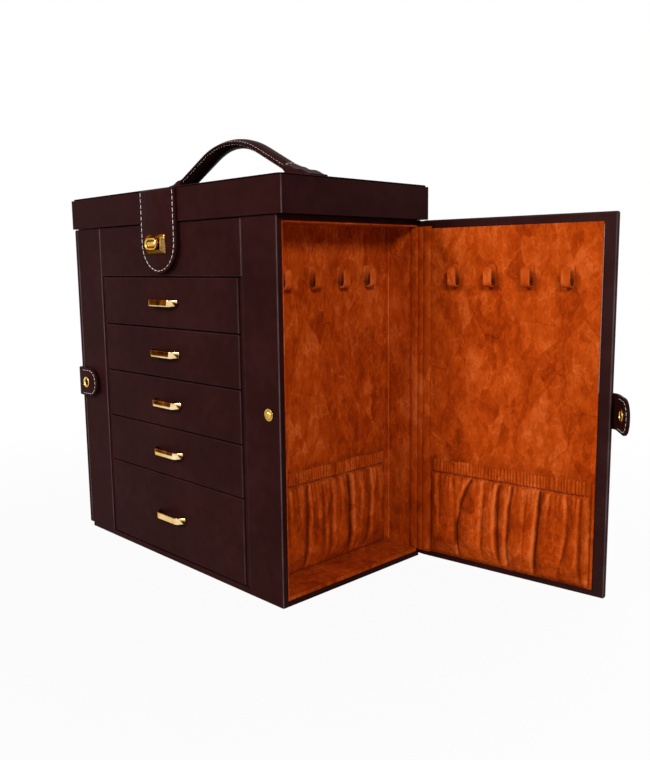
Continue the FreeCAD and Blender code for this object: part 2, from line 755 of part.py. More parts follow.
# Front strap with its turn lock, and the strike plate behind it
strap_back = -v.lid_depth / 2 - v.strap_gap
strap_front = strap_back - v.strap_thickness
strap_half = v.strap_width / 2
strap_foot = v.lid_top - v.strap_drop
strap = new_body("front_strap", (0, strap_back, 0))
flap = pad(strap, draw(strap, "XZ_Plane", [
    (-strap_half, v.lid_top),
    (-strap_half, strap_foot + strap_half),
    ((0, strap_foot), (strap_half, strap_foot + strap_half)),
    (strap_half, v.lid_top),
]), "strap_thickness")
soften(strap, flap, lambda edge: along(edge, across) and edge.BoundBox.ZMin > v.lid_top - v.strap_thickness,
       Radius="strap_round")

lock_front = strap_front - v.lock_depth
case_blank = block("lock_blank", "lock_width", "lock_depth", "lock_height",
                   (-v.lock_width / 2, lock_front, v.lock_level - v.lock_height / 2))
case_edged = rounded("lock_edged", case_blank, v.lock_edge,
                     lambda edge: edge.BoundBox.YMax < strap_front - v.lock_edge)
case_bore = document.addObject("Part::Cylinder", "lock_bore")
bind(case_bore, Radius="knob_stem_radius + knob_clearance", Height="lock_depth")
case_bore.Placement = Placement(Vector(0, lock_front, v.lock_level), Rotation(across, -90))
keep(cut("lock_case", case_edged, case_bore), "lock_case")

knob = new_body("lock_knob", (0, strap_front, v.lock_level))
stem_sketch = knob.newObject("Sketcher::SketchObject", "StemOutline")
stem_sketch.AttachmentSupport = [(plane_of(knob, "XZ_Plane"), "")]
stem_sketch.MapMode = "FlatFace"
stem_sketch.addGeometry(Part.Circle(Vector(0, 0, 0), upward, v.knob_stem_radius))
pad(knob, stem_sketch, "lock_depth + knob_lift")
end_x = (v.knob_length - v.knob_width) / 2
grip_sketch = draw(knob, "XZ_Plane", [
    (-end_x, -v.knob_width / 2),
    (end_x, -v.knob_width / 2),
    ((v.knob_length / 2, 0), (end_x, v.knob_width / 2)),
    (-end_x, v.knob_width / 2),
    ((-v.knob_length / 2, 0), (-end_x, -v.knob_width / 2)),
], v.lock_depth + v.knob_lift)
grip = pad(knob, grip_sketch, "knob_thickness")
soften(knob, grip, lambda edge: edge.BoundBox.YMax < lock_front - v.knob_lift - v.knob_thickness / 2
       - strap_front, Size="knob_edge")

keep(block("strike_plate", "strike_width", "strike_thickness", "strike_height",
           (-v.strike_width / 2, v.front_face - v.strike_thickness, v.lock_level - v.strike_height / 2)),
     "strike_plate")


# Drawers, counted from the top: a leather front, a lined tray and a bent strip for a pull
def drawer(number, level, pitch):
    name = f"drawer_{number}"
    foot = level + v.drawer_gap / 2
    height = f"{pitch} - drawer_gap"
    blank = block(f"{name}_blank", "drawer_width", "stile_thickness", height,
                  (-v.drawer_width / 2, v.front_face, foot))
    keep(rounded(f"{name}_front", blank, v.leather_edge,
                 lambda edge: edge.BoundBox.YMax < v.stile_back - v.leather_edge), f"{name}_front")
    seat = v.runner_gap + (level + v.shelf_thickness / 2 if number < drawer_count else v.base_thickness)
    tray_height = f"{pitch} - shelf_thickness - drawer_headroom"
    outside = block(f"{name}_outside", "drawer_width", "drawer_depth", tray_height,
                    (-v.drawer_width / 2, v.stile_back, seat))
    inside = block(f"{name}_inside", "drawer_width - 2 * drawer_wall", "drawer_depth - 2 * drawer_wall",
                   tray_height,
                   (v.drawer_wall - v.drawer_width / 2, v.stile_back + v.drawer_wall, seat + v.drawer_wall))
    keep(cut(f"{name}_tray", outside, inside), f"{name}_tray")
    pull = new_body(f"{name}_pull", (0, v.front_face, level + getattr(v, pitch) / 2))
    bar, span, reach, strip_width = v.pull_bar / 2, v.pull_span / 2, -v.pull_reach, v.pull_strip
    foot_width = strip_width * math.hypot(span - bar, reach) / v.pull_reach
    inner_bar = span - foot_width + (bar - span) * (v.pull_reach - strip_width) / v.pull_reach
    bent = pad(pull, draw(pull, "XY_Plane", [
        (span, 0),
        (bar, reach),
        (-bar, reach),
        (-span, 0),
        (foot_width - span, 0),
        (-inner_bar, reach + strip_width),
        (inner_bar, reach + strip_width),
        (span - foot_width, 0),
    ]), "pull_height", middle=True)
    soften(pull, bent, lambda edge: along(edge, upward) and edge.CenterOfMass.y < reach / 2
           and abs(edge.CenterOfMass.x) > inner_bar + foot_width / 4, Radius="pull_bend")


for number, level in enumerate(reversed(levels[:drawer_count]), start=1):
    drawer(number, level, "drawer_pitch" if number < drawer_count else "bottom_drawer_pitch")

document.recompute()
for item in document.Objects:
    if "Invalid" in item.State or "Error" in item.State:
        raise RuntimeError(f"{item.Label} did not rebuild")
for label, piece in pieces.items():
    if piece.Shape.isNull() or not piece.Shape.isValid():
        raise RuntimeError(f"{label} has no valid solid")
    print(label, len(piece.Shape.Solids), round(piece.Shape.Volume))

os.makedirs("parts", exist_ok=True)
for label, piece in pieces.items():
    piece.Shape.exportStep(f"parts/{label}.step")
print(len(pieces), "pieces written")
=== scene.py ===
import json
import math
import random

import bmesh
import bpy
from mathutils import Matrix, Vector, noise


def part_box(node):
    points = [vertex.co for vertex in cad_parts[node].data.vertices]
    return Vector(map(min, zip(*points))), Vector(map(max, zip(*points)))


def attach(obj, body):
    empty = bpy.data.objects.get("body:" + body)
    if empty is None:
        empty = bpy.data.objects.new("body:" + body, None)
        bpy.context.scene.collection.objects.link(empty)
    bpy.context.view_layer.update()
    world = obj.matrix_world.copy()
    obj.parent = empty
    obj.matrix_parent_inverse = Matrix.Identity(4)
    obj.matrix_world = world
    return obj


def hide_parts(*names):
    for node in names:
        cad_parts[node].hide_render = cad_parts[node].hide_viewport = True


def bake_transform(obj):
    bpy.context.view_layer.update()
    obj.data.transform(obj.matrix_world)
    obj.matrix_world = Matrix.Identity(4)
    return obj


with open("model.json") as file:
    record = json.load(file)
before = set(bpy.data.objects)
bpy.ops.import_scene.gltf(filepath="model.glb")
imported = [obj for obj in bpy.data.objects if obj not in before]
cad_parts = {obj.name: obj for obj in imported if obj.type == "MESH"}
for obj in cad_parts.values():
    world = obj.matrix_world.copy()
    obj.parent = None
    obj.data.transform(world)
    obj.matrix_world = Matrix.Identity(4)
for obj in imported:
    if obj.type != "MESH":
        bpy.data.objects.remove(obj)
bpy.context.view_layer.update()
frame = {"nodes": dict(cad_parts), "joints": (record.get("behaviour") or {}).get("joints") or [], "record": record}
scene = bpy.context.scene
mm = 0.001
touching = 0.01 * mm  # places closer than this are taken as one
sides = {"left": -1, "right": 1}
drawers = range(1, 6)
print("frame loaded,", len(frame["nodes"]), "nodes")


# ways of working

def turnAbout(pivot, degrees):  # a turn about an upright line
    turn = Matrix.Rotation(math.radians(degrees), 4, "Z")
    return Matrix.Translation(pivot) @ turn @ Matrix.Translation(-pivot)


joints = {joint["name"]: joint for joint in frame["joints"]}
doorHinge = joints["right_door_hinge"]
# from the shut right door to the open one
doorSwing = turnAbout(Vector(doorHinge["pos_m"]), -doorHinge["range_deg"][0])


def clearSelection():
    if bpy.context.object and bpy.context.object.mode != "OBJECT":
        bpy.ops.object.mode_set(mode="OBJECT")
    bpy.ops.object.select_all(action="DESELECT")


def makeActive(piece):
    clearSelection()
    piece.select_set(True)
    bpy.context.view_layer.objects.active = piece


def newest(name):
    piece = bpy.context.object
    piece.name = name
    piece.data.name = name
    return piece


def settle(piece):  # the place goes into the mesh
    makeActive(piece)
    bpy.ops.object.transform_apply(location=True, rotation=True, scale=True)
    return piece


def addBox(name, low, high):
    clearSelection()
    low, high = Vector(low), Vector(high)
    bpy.ops.mesh.primitive_cube_add(size=1, location=(low + high) / 2)
    piece = newest(name)
    piece.scale = high - low
    return settle(piece)


def addDisc(name, centre, radius, depth, corners=40):  # a round blank whose axis runs along Y
    clearSelection()
    bpy.ops.mesh.primitive_cylinder_add(vertices=corners, radius=radius, depth=depth, location=centre,
                                        rotation=(math.pi / 2, 0, 0))
    return settle(newest(name))


def applyModifier(piece, kind, **settings):
    makeActive(piece)
    modifier = piece.modifiers.new(kind.title(), kind)
    for name, value in settings.items():
        setattr(modifier, name, value)
    bpy.ops.object.modifier_apply(modifier=modifier.name)
    return piece


def editPiece(piece):
    makeActive(piece)
    bpy.ops.object.mode_set(mode="EDIT")


def pick(piece, kind, rule):  # in edit mode, select the vertices, edges or faces that meet a rule
    bpy.ops.mesh.select_mode(type=kind)
    bpy.ops.mesh.select_all(action="DESELECT")
    mesh = bmesh.from_edit_mesh(piece.data)
    for item in {"VERT": mesh.verts, "EDGE": mesh.edges, "FACE": mesh.faces}[kind]:
        if rule(item):
            item.select_set(True)
    mesh.select_flush_mode()
    bmesh.update_edit_mesh(piece.data)


def middleOf(edge):
    return (edge.verts[0].co + edge.verts[1].co) / 2


def bentStrip(name, path, across, width):
    # an edge of the strip's width, extruded from point to point
    path = [Vector(point) for point in path]
    reach = Vector(across) * width / 2
    clearSelection()
    bpy.ops.mesh.primitive_plane_add(size=1)
    strip = newest(name)
    editPiece(strip)
    mesh = bmesh.from_edit_mesh(strip.data)
    mesh.faces.ensure_lookup_table()
    for vert, corner in zip(mesh.faces[0].verts,
                            (path[0] - reach, path[1] - reach, path[1] + reach, path[0] + reach)):
        vert.co = corner
    bmesh.update_edit_mesh(strip.data)
    for here, there in zip(path[1:], path[2:]):
        pick(strip, "EDGE", lambda edge: (middleOf(edge) - here).length < touching)
        bpy.ops.mesh.extrude_edges_move(TRANSFORM_OT_translate={"value": there - here})
    clearSelection()
    return strip


def roundEnd(strip, end, radius, steps):  # rounds both corners at one end of a strip
    editPiece(strip)
    pick(strip, "VERT", lambda vert: min((vert.co - corner).length for corner in end) < touching)
    bpy.ops.mesh.bevel(offset=radius, segments=steps, affect="VERTICES")
    clearSelection()


def bevelled(piece, width, steps, degrees=30):  # rounds the edges that turn by more than an angle
    return applyModifier(piece, "BEVEL", width=width, segments=steps, limit_method="ANGLE",
                         angle_limit=math.radians(degrees))


def thicken(piece, thick, edge, steps=2):
    applyModifier(piece, "SOLIDIFY", thickness=thick, offset=0.0, use_even_offset=True)
    bevelled(piece, edge, steps, 50)
    return outward(piece)


def outward(piece):  # faces point out of the piece
    editPiece(piece)
    bpy.ops.mesh.select_all(action="SELECT")
    bpy.ops.mesh.normals_make_consistent(inside=False)
    clearSelection()
    return piece


def joined(name, members):
    clearSelection()
    for member in members:
        member.select_set(True)
    bpy.context.view_layer.objects.active = members[0]
    if len(members) > 1:
        bpy.ops.object.join()
    return newest(name)


def copyOf(piece, name, matrix):
    made = piece.copy()
    made.data = piece.data.copy()
    made.name = made.data.name = name
    made.data.transform(matrix)
    scene.collection.objects.link(made)
    return made


def mouldedGrid(name, columns, rows, place):  # a grid whose points go where place(u, v) says
    clearSelection()
    bpy.ops.mesh.primitive_grid_add(x_subdivisions=columns, y_subdivisions=rows, size=2)
    piece = newest(name)
    for vert in piece.data.vertices:
        vert.co = place((vert.co.x + 1) / 2, (vert.co.y + 1) / 2)
    return piece


def smoothStep(low, high, value):
    share = min(1.0, max(0.0, (value - low) / (high - low)))
    return share * share * (3 - 2 * share)


def bezier(points, steps):  # points along one cubic curve
    a, b, c, d = (Vector(point) for point in points)
    made = []
    for step in range(steps + 1):
        t = step / steps
        made.append(a * (1 - t) ** 3 + b * 3 * t * (1 - t) ** 2 + c * 3 * t * t * (1 - t) + d * t ** 3)
    return made


def finishPiece(piece, material, slot, body=None, stands=(), angle=40):
    makeActive(piece)
    bpy.ops.object.shade_smooth_by_angle(angle=math.radians(angle))
    piece.data.materials.clear()
    piece.data.materials.append(material)
    if body:
        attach(piece, body)
    if stands:
        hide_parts(*stands)
    return piece


def darken(piece, material, rule):  # gives the faces that meet a rule a second material
    piece.data.materials.append(material)
    for face in piece.data.polygons:
        if rule(face):
            face.material_index = 1


def markPoints(piece, name, values):  # a value at each point, which a material reads
    piece.data.attributes.new(name, "FLOAT", "POINT").data.foreach_set("value", values)


def pickOpenEdges():  # in edit mode, the edges that border a single face
    bpy.ops.mesh.select_mode(type="EDGE")
    bpy.ops.mesh.select_all(action="DESELECT")
    bpy.ops.mesh.select_non_manifold()


# materials

def feedNode(tree, node, feeds):  # an input takes a link or a plain value
    for name, feed in feeds.items():
        if isinstance(feed, bpy.types.NodeSocket):
            tree.links.new(feed, node.inputs[name])
        else:
            node.inputs[name].default_value = feed
    return node


def addNode(tree, kind, feeds=None, **settings):
    node = tree.nodes.new("ShaderNode" + kind)
    for name, value in settings.items():
        setattr(node, name, value)
    return feedNode(tree, node, feeds or {})


def newGroup(name, vectors, values):
    # a node group that puts out a colour, a roughness and a height
    group = bpy.data.node_groups.new(name, "ShaderNodeTree")
    for label in vectors:
        group.interface.new_socket(label, in_out="INPUT", socket_type="NodeSocketVector")
    for label, value in values.items():
        group.interface.new_socket(label, in_out="INPUT", socket_type="NodeSocketFloat").default_value = value
    for label, kind in (("Color", "Color"), ("Roughness", "Float"), ("Height", "Float")):
        group.interface.new_socket(label, in_out="OUTPUT", socket_type="NodeSocket" + kind)
    source = group.nodes.new("NodeGroupInput").outputs
    sink = group.nodes.new("NodeGroupOutput")
    return group, source, sink


def ramp(tree, feed, stops):
    node = addNode(tree, "ValToRGB", {"Fac": feed})
    marks = node.color_ramp.elements
    while len(marks) < len(stops):
        marks.new(1.0)
    for mark, (place, colour) in zip(marks, stops):
        mark.position = place
        mark.color = (*colour, 1)
    return node.outputs["Color"]


def sums(tree, kind, first, second):
    return addNode(tree, "Math", {0: first, 1: second}, operation=kind).outputs[0]


def weighed(tree, parts):  # the sum of feeds, each times its weight
    total = 0.0
    for feed, weight in parts:
        total = sums(tree, "ADD", total, sums(tree, "MULTIPLY", feed, weight))
    return total


def vectorSums(tree, kind, first, second=(0, 0, 0)):
    return addNode(tree, "VectorMath", {0: first, 1: second}, operation=kind).outputs


def remap(tree, feed, fromLow, fromHigh, toLow, toHigh):
    feeds = {"Value": feed, "From Min": fromLow, "From Max": fromHigh, "To Min": toLow, "To Max": toHigh}
    return addNode(tree, "MapRange", feeds).outputs[0]


def mixed(tree, share, first, second):
    return addNode(tree, "Mix", {"Factor": share, "A": first, "B": second}, data_type="RGBA").outputs[2]


def cloud(tree, place, scale, detail, rough=0.5):
    feeds = {"Vector": place, "Scale": scale, "Detail": detail, "Roughness": rough}
    return addNode(tree, "TexNoise", feeds).outputs[0]


# the light edge colour stands for edge wear and a painted highlight together; the groove colour is a near-black
# painted shadow
leatherLook = {"dark": (0.0175, 0.0040, 0.0036), "plain": (0.0245, 0.0058, 0.0054),
               "light": (0.034, 0.0090, 0.0085), "wornAndLitEdge": (0.105, 0.068, 0.068, 1),
               "groove": (0.003, 0.001, 0.001, 1), "mottle": 16.0, "blotch": 110.0, "edgeUnevenness": 45.0,
               "pore": 420.0, "grain": 1100.0, "turn": 0.985}


def buildLeatherSkin(look):
    group, source, sink = newGroup("leatherSkin", ["Place", "Facing"], {
        "Grain": look["grain"], "EdgeWearAndHighlight": 1.0, "Turn": look["turn"], "PaintedDarkness": 0.0})
    place = source["Place"]
    mottle = cloud(group, place, look["mottle"], 5.0)
    tone = weighed(group, [(mottle, 0.65), (cloud(group, place, look["blotch"], 3.0), 0.35)])
    hide = ramp(group, tone, [(0.3, look["dark"]), (0.5, look["plain"]), (0.7, look["light"])])
    # turned edges are the places whose normal leaves the three main directions
    parts = addNode(group, "SeparateXYZ", {0: vectorSums(group, "ABSOLUTE", source["Facing"])[0]}).outputs
    largest = sums(group, "MAXIMUM", sums(group, "MAXIMUM", parts[0], parts[1]), parts[2])
    edge = remap(group, largest, source["Turn"], sums(group, "SUBTRACT", source["Turn"], 0.125), 0.0, 1.0)
    # they are painted lighter unevenly, part edge wear and part painted highlight; those that turn up or down get
    # little of it, so the gaps between boards and drawers stay dark
    uneven = remap(group, cloud(group, place, look["edgeUnevenness"], 6.0), 0.3, 0.65, 0.35, 1.0)
    for share in (source["EdgeWearAndHighlight"], uneven, remap(group, parts[2], 0.15, 0.45, 1.0, 0.25)):
        edge = sums(group, "MULTIPLY", edge, share)
    # turned edges are mixed towards a light colour, part edge wear and part painted highlight, and the whole
    # towards near black where a painted shadow is asked for
    colour = mixed(group, source["PaintedDarkness"], mixed(group, edge, hide, look["wornAndLitEdge"]), look["groove"])
    grain = addNode(group, "TexVoronoi", {"Vector": place, "Scale": source["Grain"]}, feature="SMOOTH_F1")
    height = weighed(group, [(grain.outputs["Distance"], 0.5), (cloud(group, place, look["pore"], 5.0), 0.6)])
    gloss = weighed(group, [(remap(group, mottle, 0.3, 0.7, 0.36, 0.46), 1.0), (edge, -0.06)])
    feedNode(group, sink, {"Color": colour, "Roughness": gloss, "Height": height})
    return group


# the last colour is near black, for painted shade in folds and hollows
suedeLook = {"deepest": (0.185, 0.0145, 0.0007), "dark": (0.345, 0.036, 0.0019),
             "plain": (0.475, 0.060, 0.0040), "light": (0.66, 0.125, 0.022),
             "paintedShade": (0.050, 0.0045, 0.0006, 1), "sway": (0.007, 0.007, 0.007), "draw": (1.0, 1.0, 0.5),
             "rough": 0.55}


def buildSuedeNap(look):
    group, source, sink = newGroup("suedeNap", ["Place"], {"Crush": 1.0, "Lift": 0.0, "PaintedShade": 0.0})
    place = source["Place"]
    middle = (0.5, 0.5, 0.5)
    # cells drawn out upward and a little bent; each one leans its own way, so that its borders run as creases
    sway = addNode(group, "TexNoise", {"Vector": place, "Scale": 55.0, "Detail": 3.0}).outputs["Color"]
    sway = vectorSums(group, "MULTIPLY", vectorSums(group, "SUBTRACT", sway, middle)[0], look["sway"])[0]
    drawn = vectorSums(group, "MULTIPLY", vectorSums(group, "ADD", place, sway)[0], look["draw"])[0]

    def times(feed, factor):
        return sums(group, "MULTIPLY", feed, factor)

    def crushed(scale, wide, spread, rare):  # the shade, the lean and the border of cells of one size
        feeds = {"Vector": drawn, "Scale": scale}
        cell = addNode(group, "TexVoronoi", feeds).outputs
        border = addNode(group, "TexVoronoi", feeds, feature="DISTANCE_TO_EDGE").outputs["Distance"]
        shade = addNode(group, "SeparateXYZ", {0: cell["Color"]}).outputs[0]
        lean = vectorSums(group, "SUBTRACT", cell["Color"], middle)[0]
        away = vectorSums(group, "SUBTRACT", drawn, cell["Position"])[0]
        tilt = times(vectorSums(group, "DOT_PRODUCT", away, lean)["Value"], scale)
        here = remap(group, cloud(group, place, spread, 3.0, look["rough"]), rare, rare + 0.12, 0.0, 1.0)
        kept = times(here, source["Crush"])
        return shade, times(tilt, kept), times(remap(group, border, 0.0, wide, 1.0, 0.0), kept)

    largeShade, largeTilt, largeLine = crushed(34.0, 0.022, 20.0, 0.44)
    smallShade, smallTilt, smallLine = crushed(95.0, 0.06, 40.0, 0.46)
    fineShade, fineTilt, fineLine = crushed(240.0, 0.15, 60.0, 0.47)
    patches = cloud(group, place, 26.0, 7.0, 0.60)
    smudges = cloud(group, drawn, 170.0, 5.0, 0.70)
    flecks = remap(group, cloud(group, place, 420.0, 3.0, look["rough"]), 0.57, 0.72, 0.0, 1.0)
    # the cell borders are painted into the tone as well: the large ones darker, as painted shade in the creases,
    # and the small and fine ones lighter, as painted highlights on the ridges
    tone = weighed(group, [
        (patches, 0.32), (smudges, 0.36), (source["Lift"], 1.0), (largeShade, 0.10), (smallShade, 0.13),
        (fineShade, 0.08), (largeLine, -0.05), (smallLine, 0.05), (fineLine, 0.09), (flecks, 0.08)])
    tone = sums(group, "ADD", tone, 0.013)
    colour = ramp(group, tone, [(0.30, look["deepest"]), (0.45, look["dark"]), (0.57, look["plain"]),
                                (0.74, look["light"])])
    height = weighed(group, [
        (patches, 0.35), (smudges, 0.40), (largeTilt, 7.5), (smallTilt, 3.2), (fineTilt, 0.7),
        (largeLine, -0.22), (smallLine, 0.10), (fineLine, 0.06), (flecks, 0.04)])
    # the nap is mixed towards that near-black colour by the painted shade that the piece carries
    feedNode(group, sink, {"Color": mixed(group, source["PaintedShade"], colour, look["paintedShade"]),
                           "Roughness": remap(group, patches, 0.3, 0.7, 0.95, 0.82), "Height": height})
    return group


def newMaterial(name, **uniform):
    material = bpy.data.materials.new(name)
    material.use_nodes = True
    shader = material.node_tree.nodes["Principled BSDF"]
    for label, value in uniform.items():
        shader.inputs[label.replace("_", " ")].default_value = value
    return material, material.node_tree, shader


def dress(tree, shader, colour, roughness, height=None, strength=0.0, distance=0.0):
    feedNode(tree, shader, {"Base Color": colour, "Roughness": roughness})
    if height is not None:
        bump = addNode(tree, "Bump", {"Height": height, "Strength": strength, "Distance": distance})
        feedNode(tree, shader, {"Normal": bump.outputs[0]})


leatherSkin = buildLeatherSkin(leatherLook)
suedeNap = buildSuedeNap(suedeLook)


def leatherFinish(name, edgeWearAndHighlight, grain=leatherLook["grain"], turn=leatherLook["turn"], paintedDarkness=0.0):
    material, tree, shader = newMaterial(name, Specular_IOR_Level=0.012, Specular_Tint=(1.0, 0.6, 0.58, 1))
    place = addNode(tree, "TexCoord").outputs
    feeds = {"Place": place["Object"], "Facing": place["Normal"], "EdgeWearAndHighlight": edgeWearAndHighlight, "Grain": grain, "Turn": turn,
             "PaintedDarkness": paintedDarkness}
    skin = addNode(tree, "Group", feeds, node_tree=leatherSkin).outputs
    dress(tree, shader, skin["Color"], skin["Roughness"], skin["Height"], 0.25, 0.12 * mm)
    return material


def suedeFinish(name, crush, bump, lift=0.0, carriesPaintedShade=False):
    material, tree, shader = newMaterial(
        name, Specular_IOR_Level=0.03, Specular_Tint=(1.0, 0.5, 0.3, 1), Sheen_Weight=0.06,
        Sheen_Roughness=0.5, Sheen_Tint=(1.0, 0.32, 0.1, 1))
    feeds = {"Place": addNode(tree, "TexCoord").outputs["Object"], "Crush": crush, "Lift": lift}
    if carriesPaintedShade:  # cloth that carries, point by point, painted shade in its folds and hollows and a lighter tone or painted highlight on its crests and edges
        feeds["PaintedShade"] = addNode(tree, "Attribute", attribute_name="paintedShade").outputs["Fac"]
        feeds["Lift"] = addNode(tree, "Attribute", attribute_name="crest").outputs["Fac"]
    nap = addNode(tree, "Group", feeds, node_tree=suedeNap).outputs
    dress(tree, shader, nap["Color"], nap["Roughness"], nap["Height"], bump, 1.2 * mm)
    return material


# the darkest ramp is a painted dark reflection; the banded ramp is paler, for a painted highlight band
goldLook = {"bright": [(0.35, (0.62, 0.34, 0.06)), (0.55, (0.86, 0.56, 0.16)), (0.7, (0.97, 0.74, 0.34))],
            "paintedBand": [(0.35, (0.78, 0.49, 0.16)), (0.55, (0.90, 0.66, 0.33)), (0.7, (0.98, 0.82, 0.54))],
            "darkReflection": [(0.40, (0.020, 0.006, 0.002)), (0.52, (0.085, 0.022, 0.006)),
                      (0.64, (0.23, 0.065, 0.014))]}


def goldFinish(name, look, paintedReflection=None):
    material, tree, shader = newMaterial(name, Metallic=1.0, Specular_Tint=(0.85, 0.55, 0.22, 1))
    place = addNode(tree, "TexCoord").outputs
    haze = cloud(tree, place["Object"], 120.0, 4.0)
    if paintedReflection is None:  # the piece carries how far each point lies above its painted highlight band; above it the metal is painted dark, a painted reflection
        above = addNode(tree, "Attribute", attribute_name="abovePaintedBand").outputs["Fac"]
        bright = look["paintedBand"]
        dark = remap(tree, above, -0.06, 0.08, 0.0, 1.0)
    else:  # a painted reflection: the metal is painted dark in front and above, and bright on its sides and low down
        facing = addNode(tree, "SeparateXYZ", {0: place["Normal"]}).outputs
        front = remap(tree, sums(tree, "ABSOLUTE", facing[0], 0.0), 0.25, 0.6, 1.0, 0.0)
        bright = look["bright"]
        dark = sums(tree, "MULTIPLY", remap(tree, facing[2], -0.6, -0.2, 0.0, paintedReflection), front)
    colour = mixed(tree, dark, ramp(tree, haze, bright), ramp(tree, haze, look["darkReflection"]))
    rub = cloud(tree, place["Object"], 1500.0, 3.0)
    dress(tree, shader, colour, remap(tree, haze, 0.3, 0.7, 0.12, 0.24), rub, 0.06, 0.05 * mm)
    return material


def threadFinish(name, dark, light):
    material, tree, shader = newMaterial(name, Specular_IOR_Level=0.25, Sheen_Weight=0.2)
    ply = cloud(tree, addNode(tree, "TexCoord").outputs["Object"], 2200.0, 2.0)
    colour = ramp(tree, ply, [(0.3, dark), (0.65, light)])
    dress(tree, shader, colour, remap(tree, ply, 0.3, 0.7, 0.75, 0.6), ply, 0.4, 0.1 * mm)
    return material


def mirrorFinish(name):
    material, tree, shader = newMaterial(name, Metallic=1.0)
    haze = cloud(tree, addNode(tree, "TexCoord").outputs["Object"], 30.0, 4.0)
    colour = ramp(tree, haze, [(0.3, (0.86, 0.88, 0.88)), (0.7, (0.92, 0.93, 0.93))])
    dress(tree, shader, colour, remap(tree, haze, 0.3, 0.7, 0.02, 0.05))
    return material


# the leathers differ in how strongly their turned edges are painted lighter, part edge wear and part painted
# highlight, and in how wide that band runs; the last is near black, a painted shadow for the seam under the lid's
# pad
panelLeather = leatherFinish("panelLeather", 1.0)
strapLeather = leatherFinish("strapLeather", 0.0, grain=1300.0)
drawerLeather = leatherFinish("drawerLeather", 0.4)
lidLeather = leatherFinish("lidLeather", 1.0, turn=0.85)
seamShadowLeather = leatherFinish("seamShadowLeather", 0.0, paintedDarkness=0.85)
liningSuede = suedeFinish("liningSuede", 1.0, 0.75)
softSuede = suedeFinish("softSuede", 0.6, 0.35)
foldedSuede = suedeFinish("foldedSuede", 1.0, 0.6, carriesPaintedShade=True)
hookFlock = suedeFinish("hookFlock", 0.0, 0.1, carriesPaintedShade=True)
# the welt's suede is lifted lighter, a painted highlight
pipedSuede = suedeFinish("pipedSuede", 0.0, 0.1, lift=0.12)
goldWithFaintPaintedReflection = goldFinish("goldWithFaintPaintedReflection", goldLook, 0.25)
goldWithPaintedReflection = goldFinish("goldWithPaintedReflection", goldLook, 1.0)
goldWithPaintedBand = goldFinish("goldWithPaintedBand", goldLook)
creamThread = threadFinish("creamThread", (0.70, 0.65, 0.57), (0.95, 0.92, 0.86))
rawEdge = threadFinish("rawEdge", (0.16, 0.10, 0.075), (0.46, 0.36, 0.30))
suedeThread = threadFinish("suedeThread", (0.16, 0.03, 0.005), (0.34, 0.08, 0.015))
silveredGlass = mirrorFinish("silveredGlass")

slotFinish = {"leather": panelLeather, "anchor_leather": strapLeather, "suede": liningSuede,
              "board": liningSuede, "brass": goldWithFaintPaintedReflection, "mirror": silveredGlass,
              "flocked_hook": hookFlock}
# boards whose edges are wrapped, the lid's frame and the drawers' fronts have finishes of their own, which differ
# in how their edges are painted lighter, part edge wear and part painted highlight
nodeFinish = {"left_partition": panelLeather, "right_partition": panelLeather,
              "compartment_ceilings": panelLeather, "lid_shell": lidLeather}
for number in drawers:
    nodeFinish[f"drawer_{number}_front"] = drawerLeather
for entry in frame["record"]["subparts"]:
    held = frame["nodes"][entry["node"]].data.materials
    held.clear()
    held.append(nodeFinish.get(entry["node"], slotFinish[entry["material_slot"]]))
print("materials made")


# stitches

stitchLook = {"length": 3.7 * mm, "width": 0.52 * mm, "height": 0.46 * mm, "pitch": 4.7 * mm}


def stitchBlank(look):
    clearSelection()
    bpy.ops.mesh.primitive_uv_sphere_add(segments=8, ring_count=5, radius=0.5, rotation=(0, math.pi / 2, 0))
    blank = settle(newest("stitchBlank"))
    blank.data.transform(Matrix.Diagonal((look["length"], look["width"], look["height"], 1)))
    mesh = blank.data
    bpy.data.objects.remove(blank)
    return mesh


stitchMesh = stitchBlank(stitchLook)


def sew(name, line, facing, pitch=None, size=1.0):
    # stitches along a line of points; facing(share) gives the way that they look
    pitch = pitch or stitchLook["pitch"]
    spans = [(there - here).length for here, there in zip(line, line[1:])]
    count = max(1, int(sum(spans) / pitch))
    step = sum(spans) / count
    mesh = bmesh.new()
    for number in range(count):
        place = (number + 0.5) * step
        index = 0
        while index < len(spans) - 1 and place > spans[index]:
            place -= spans[index]
            index += 1
        along = (line[index + 1] - line[index]).normalized()
        look = facing((number + 0.5) / count).normalized()
        beside = look.cross(along).normalized()
        turn = Matrix((along, beside, along.cross(beside))).transposed().to_4x4()
        spot = line[index] + along * place
        single = stitchMesh.copy()
        single.transform(Matrix.Translation(spot) @ turn @ Matrix.Scale(size, 4))
        mesh.from_mesh(single)
        bpy.data.meshes.remove(single)
    made = bpy.data.meshes.new(name)
    mesh.to_mesh(made)
    mesh.free()
    piece = bpy.data.objects.new(name, made)
    scene.collection.objects.link(piece)
    return piece


def tongueSeam(tip, along, across, length, width, tipRound, inset):
    # a U-shaped line inside the edge of a flat tongue, from one side round the tip to the other
    along, across, tip = Vector(along), Vector(across), Vector(tip)
    half = width / 2
    flat = [(length, half - inset)]
    for step in range(13):
        turn = math.pi / 2 * (1 + step / 12)
        flat.append((tipRound + (tipRound - inset) * math.cos(turn), half - tipRound
                     + (tipRound - inset) * math.sin(turn)))
    flat += [(run, -rise) for run, rise in reversed(flat)]
    return [tip + along * run + across * rise for run, rise in flat]


# lid pad

padLook = {"columns": 84, "rows": 46, "skirt": 1.6 * mm, "corner": 5 * mm, "edge": 0.5 * mm,
           "held": 0.5 * mm, "riseFrom": -4 * mm, "riseTo": 15 * mm, "pressure": 4.0, "frames": 20,
           "spread": 0.5}


